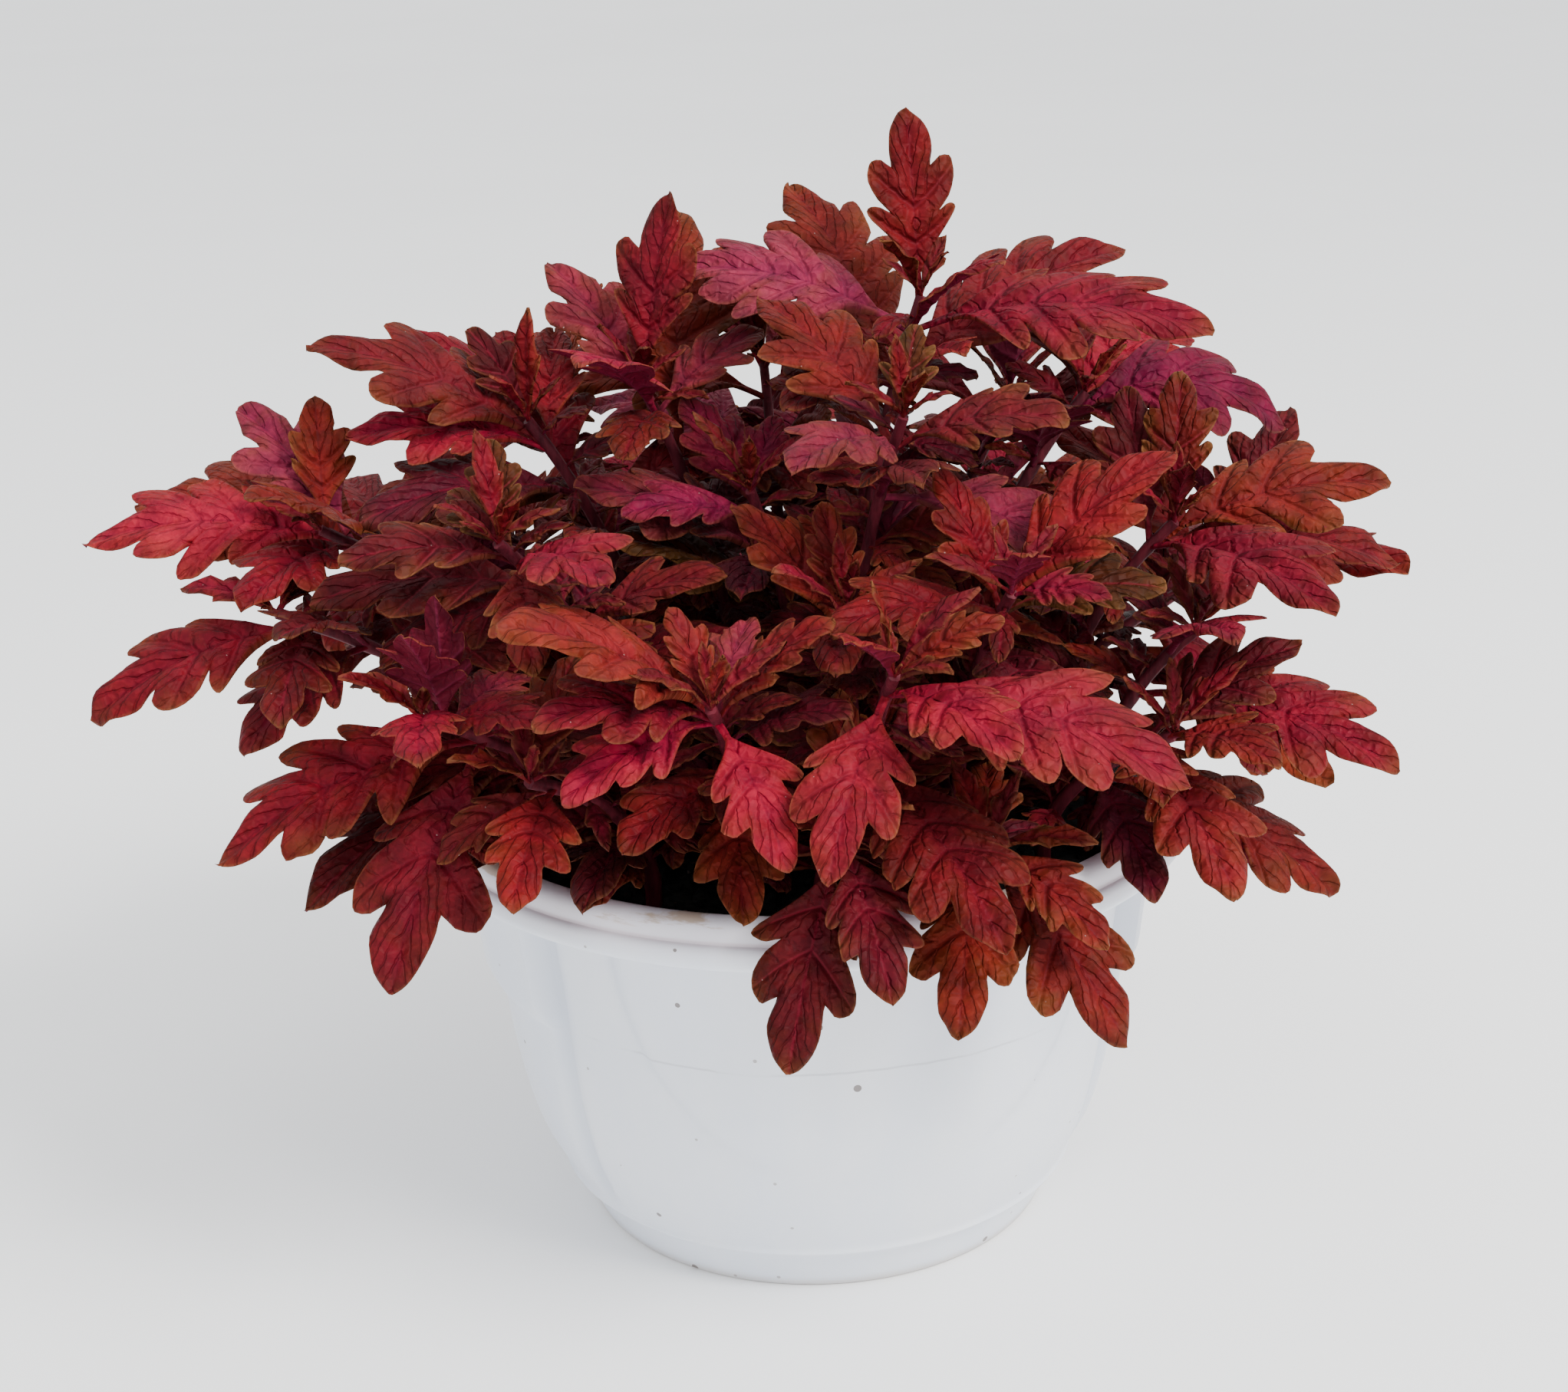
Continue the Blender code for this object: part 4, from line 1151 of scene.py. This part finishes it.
def vein_ways(x, y, left, right, centre):
    """How far each flat point is from the margin, from a side vein and from a lobe's tip."""
    flat = np.stack([x.ravel(), y.ravel()], -1)
    margin = np.vstack([np.column_stack([x[:, -1], y[:, -1]]),
                        np.column_stack([x[:, 0], y[:, 0]])[::-1]])
    to_edge = distance_to(flat, margin).reshape(x.shape)
    number = left[:, 4].astype(int)
    to_vein = np.full(x.shape, 30.0)
    to_tip = np.hypot(x - x[-1, centre], y - y[-1, centre])
    # Side veins run along the crown line of every lobe, out to its tip
    for half, columns in ((right, slice(centre, None, -1)), (left, slice(centre, None))):
        for k in range(number.max()):
            own = np.flatnonzero(number == k)
            crown = own[np.argmin(np.abs(half[own, 3] - 0.5))]
            vein = np.column_stack([x[crown, columns], y[crown, columns]])
            to_vein = np.minimum(to_vein, distance_to(flat, vein).reshape(x.shape))
            to_tip = np.minimum(to_tip, np.hypot(x - vein[-1, 0], y - vein[-1, 1]))
    return to_edge, to_vein, to_tip


def blade_relief(kind, size, x, y, out, left, right, to_vein, draw):
    """Height of a blade's surface: puffed tissue, turned lobes, a waved margin and puckers."""
    mid, number = left[:, 0], left[:, 4].astype(int)
    crisp = crispness.get(kind, 1.0)
    near_vein = np.minimum(to_vein, np.abs(y))
    puff = (1.0 - np.exp(-(near_vein / (puff_width * size)) ** 2)) * (1.0 - np.abs(out) ** 5)
    lift = puff * draw.uniform(*puff_lift) * mm * size
    lobe_turn = np.array([[draw.uniform(-1.0, 0.8) for _ in lobes[kind]] for _ in range(2)])
    turned = np.where(out < 0, lobe_turn[0][number][:, None], lobe_turn[1][number][:, None])
    phase = np.where(out < 0, right[:, 3][:, None], left[:, 3][:, None])
    lift += turned * lobe_lift * size * np.sin(pi * phase).clip(0.0) * out ** 2
    wave = np.sin(mid * draw.uniform(14, 20) + draw.uniform(0, 6))[:, None]
    lift += wave * wave_lift * size * crisp * np.abs(out) ** 3
    pucker = np.sin(x * 1.05 + draw.uniform(0, 6)) * np.sin(y * 1.2 + draw.uniform(0, 6))
    return lift + pucker * pucker_lift * crisp * (1.0 - out ** 6)


def on_stalk(value, grid, stations):
    """Put rows of one value, for the stalk, before a blade's grid."""
    return np.vstack([np.full((stations, grid.shape[1]), value), grid])


def grow_blade(rows, length, kind, tone, draw):
    """Points, faces, finish numbers and maps of one finished leaf."""
    _, centre, stalk = leaf_grids[kind]
    left, right = blade_side(kind, draw), blade_side(kind, draw)
    mid = left[:, 0]
    x, y, out = blade_grid(left, right, centre)
    blade = (1.0 - stalk_share) * length
    flat_x, flat_y = x * blade / mm, y * blade / mm
    to_edge, to_vein, to_tip = vein_ways(flat_x, flat_y, left, right, centre)
    along_vein = np.hypot(flat_x - (mid * blade / mm)[:, None], flat_y)
    size = length / relief_length
    relief = blade_relief(kind, size, flat_x, flat_y, out, left, right, to_vein, draw)
    lift = on_stalk(0.0, relief, stalk)
    # Stalk: round, then widening and thinning into the blade
    rise = np.linspace(0.0, 1.0, stalk + 1)[:-1]
    base_half = min(1.0, length / full_stalk) * stalk_half_width
    width = base_half + (abs(y[0, -1]) * blade - base_half) * rise
    round_side = np.sin(0.5 * pi * np.linspace(-1, 1, len(out)))
    along = np.vstack([np.repeat(stalk_share * rise[:, None], len(out), 1),
                       stalk_share + (1.0 - stalk_share) * x])
    side = np.vstack([width[:, None] * round_side, y * blade])
    roundness = np.append(np.ones(stalk), (1.0 - mid / 0.10).clip(0.0, 1.0))[:, None]
    share = side / np.maximum(np.abs(side[:, -1:]), 1e-6)
    full = 0.7 * base_half * np.sqrt((1.0 - share ** 2).clip(0.0))
    thin = edge_half + (blade_half - edge_half) * (1.0 - np.abs(out) ** 8)
    thick = np.maximum(roundness * full + (1.0 - roundness) * thin, edge_half)
    station = np.append(np.zeros(stalk), mid)[:, None]
    ridge = (1.0 - station) ** 0.8 * base_half * 0.75 * np.exp(-(side / (1.1 * mm)) ** 2)
    ridge *= 1.0 - roundness
    # Bend the flat leaf along its midrib
    fine_rows = through([[*p, *l, *u] for p, l, u in rows], 6)
    place = along.clip(0.0, 1.0) * (len(fine_rows) - 1)
    i = np.minimum(place.astype(int), len(fine_rows) - 2)
    f = (place - i)[..., None]
    at = fine_rows[i] * (1.0 - f) + fine_rows[i + 1] * f
    up = at[..., 6:]
    cup = cup_rise * np.abs(side) - cup_droop * side ** 2
    middle = at[..., :3] + at[..., 3:6] * side[..., None] + up * (cup + lift)[..., None]
    upper = middle + up * (thick - 0.25 * ridge)[..., None]
    lower = middle - up * (thick + ridge)[..., None]
    faces, under = plate_faces(*side.shape)
    # Maps: ways to the veins, flat place with the way to the margin, tissue with its flush
    veins = (on_stalk(6.0, to_vein, stalk), on_stalk(0.0, along_vein, stalk), np.abs(side) / mm)
    shift = draw.uniform(0, 300)
    flat = (along * length / mm + shift, side / mm, on_stalk(6.0, to_edge, stalk))
    red, green, blue, olive = tones[tone]
    light, warm = draw.uniform(0.82, 1.2), draw.uniform(0.85, 1.2)
    # Pinker along the midrib, browner outwards, and olive towards the tips of the lobes
    outward = on_stalk(0.0, np.repeat(np.abs(out[None]), len(mid), 0), stalk)
    near_tip = (1.0 - on_stalk(105.0, to_tip, stalk) / (flush_reach * size)).clip(0.0) ** 1.1
    tint = (red * light * (1.06 - 0.18 * outward), green * light * warm * (0.85 + 0.30 * outward),
            blue * light / warm * (1.22 - 0.40 * outward),
            olive * draw.uniform(0.6, 1.3) * near_tip)
    maps = [np.tile(np.stack(grids, -1).reshape(-1, len(grids)), (2, 1))
            for grids in (veins, flat, tint)]
    if kind == "young":
        under = under * 0
    points = np.vstack([upper.reshape(-1, 3), lower.reshape(-1, 3)])
    return points, faces, under, *maps


def grow_stem(foot, tip, sides=12, rings=30):
    """Fine stem: four soft corners, a shallow groove on each face, and a swelling at each fork."""
    path = stem_curve(foot, tip, rings)
    total = sum((b - a).length for a, b in zip(path[1:], path[2:]))
    points, run = [], 0.0
    for i, point in enumerate(path):
        across, along = stem_sides(path, i)
        if i > 1:
            run += (point - path[i - 1]).length
        half = stem_foot + (stem_tip - stem_foot) * max(i - 1, 0) / (rings - 1)
        fork = sum(np.exp(-((total - run - drop) / (2.5 * mm)) ** 2) for drop in node_drops)
        half *= 1.0 + 0.16 * min(fork, 1.0)
        for k in range(sides):
            a = 2 * pi * k / sides
            corner = (abs(cos(a)) ** 3.2 + abs(sin(a)) ** 3.2) ** (-1 / 3.2)
            reach = half * corner * (1.0 - 0.05 * cos(4 * a))
            points.append(point + across * (reach * cos(a)) + along * (reach * sin(a)))
    grid = np.arange(len(path) * sides).reshape(len(path), sides)
    ahead = np.roll(grid, -1, axis=1)
    walls = np.stack([grid[:-1], ahead[:-1], ahead[1:], grid[1:]], -1).reshape(-1, 4)
    return np.array(points), walls, np.vstack([grid[0][::-1], grid[-1]])


def build_mesh(name, points, face_sets, numbers, maps):
    """Mesh object from arrays: points, sets of faces, a finish number per face, maps per point."""
    mesh = bpy.data.meshes.new(name)
    corners = np.concatenate([faces.ravel() for faces in face_sets])
    counts = np.concatenate([np.full(len(faces), faces.shape[1]) for faces in face_sets])
    starts = np.concatenate([[0], np.cumsum(counts)[:-1]])
    mesh.vertices.add(len(points))
    mesh.vertices.foreach_set("co", points.astype(np.float32).ravel())
    mesh.loops.add(len(corners))
    mesh.loops.foreach_set("vertex_index", corners.astype(np.int32))
    mesh.polygons.add(len(counts))
    mesh.polygons.foreach_set("loop_start", starts.astype(np.int32))
    mesh.polygons.foreach_set("material_index", numbers.astype(np.int32))
    mesh.polygons.foreach_set("use_smooth", np.ones(len(counts), bool))
    mesh.update(calc_edges=True)
    for label, values in maps.items():
        coloured = values.shape[1] == 4
        layer = mesh.attributes.new(label, "FLOAT_COLOR" if coloured else "FLOAT_VECTOR", "POINT")
        layer.data.foreach_set("color" if coloured else "vector", values.astype(np.float32).ravel())
    mesh.set_sharp_from_angle(angle=radians(55))
    thing = bpy.data.objects.new(name, mesh)
    bpy.context.collection.objects.link(thing)
    return thing


finishes = (leaf_top, leaf_under, stem_skin)
stem_slot = 2
for number, (name, (foot, tip, _, _)) in enumerate(shoots.items()):
    draw = random.Random(100 + number)
    points, walls, caps = grow_stem(foot, tip)
    plain = np.zeros((len(points), 3))
    parts = [(points, walls, np.full(len(walls), stem_slot), plain, plain,
              np.ones((len(points), 4)))]
    count = len(points)
    for rows, length, kind, tone in grown[name]:
        points, faces, *rest = grow_blade(rows, length, kind, tone, draw)
        parts.append((points, faces + count, *rest))
        count += len(points)
    points, quads, slots, veins, flat, tint = (np.concatenate(part) for part in zip(*parts))
    slots = np.append(slots, np.full(len(caps), stem_slot))
    leafy = build_mesh("leafy_" + name, points, [quads, caps], slots,
                       {"leaf_veins": veins, "leaf_flat": flat, "leaf_tone": tint})
    for finish in finishes:
        leafy.data.materials.append(finish)
    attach(leafy, "root")
    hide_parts(name)

# Studio
# A pale seamless floor under the pot, an even white surround, and one broad soft light from above
# and to the right, as on an overcast day.
sky_low = 0.75
sky_high = 1.95
bpy.ops.mesh.primitive_plane_add(size=12.0)
floor = bpy.context.object
floor.name = "studio_floor"
paper, tree, shader = new_material("paper", Roughness=0.9, Specular_IOR_Level=0.1)
here = add_node(tree, "TexCoord").outputs["Object"]
sheet = uneven(tree, here, 2.0, (0.93, 0.93, 0.93), (0.95, 0.95, 0.95))
tree.links.new(sheet["Color"], shader.inputs["Base Color"])
floor.data.materials.append(paper)
world = bpy.data.worlds.new("studio")
world.use_nodes = True
tree = world.node_tree
view = add_node(tree, "TexCoord").outputs["Generated"]
upward = fade(tree, add_node(tree, "SeparateXYZ", {0: view}).outputs["Z"], -0.1, 0.9)
sky = calc(tree, "ADD", times(tree, upward, sky_high - sky_low), sky_low)
tree.nodes["Background"].inputs["Color"].default_value = rgb(0.97, 0.985, 1.0)
tree.links.new(sky, tree.nodes["Background"].inputs["Strength"])
bpy.context.scene.world = world
# Place, size, power and tint of the soft light and of a weak bluish one on its left
lamps = (((1.25, -1.1, 1.8), 0.9, 78.0, (1.0, 0.985, 0.96)),
         ((-1.4, -1.1, 0.8), 1.4, 4.0, (0.78, 0.88, 1.0)))
lamp_aim = Vector((0.0, 0.0, 0.15))
for spot, size, power, tint in lamps:
    bpy.ops.object.light_add(type="AREA", location=spot)
    lamp = bpy.context.object
    lamp.data.size = size
    lamp.data.energy = power
    lamp.data.color = tint
    lamp.rotation_euler = (Vector(spot) - lamp_aim).to_track_quat("Z", "Y").to_euler()
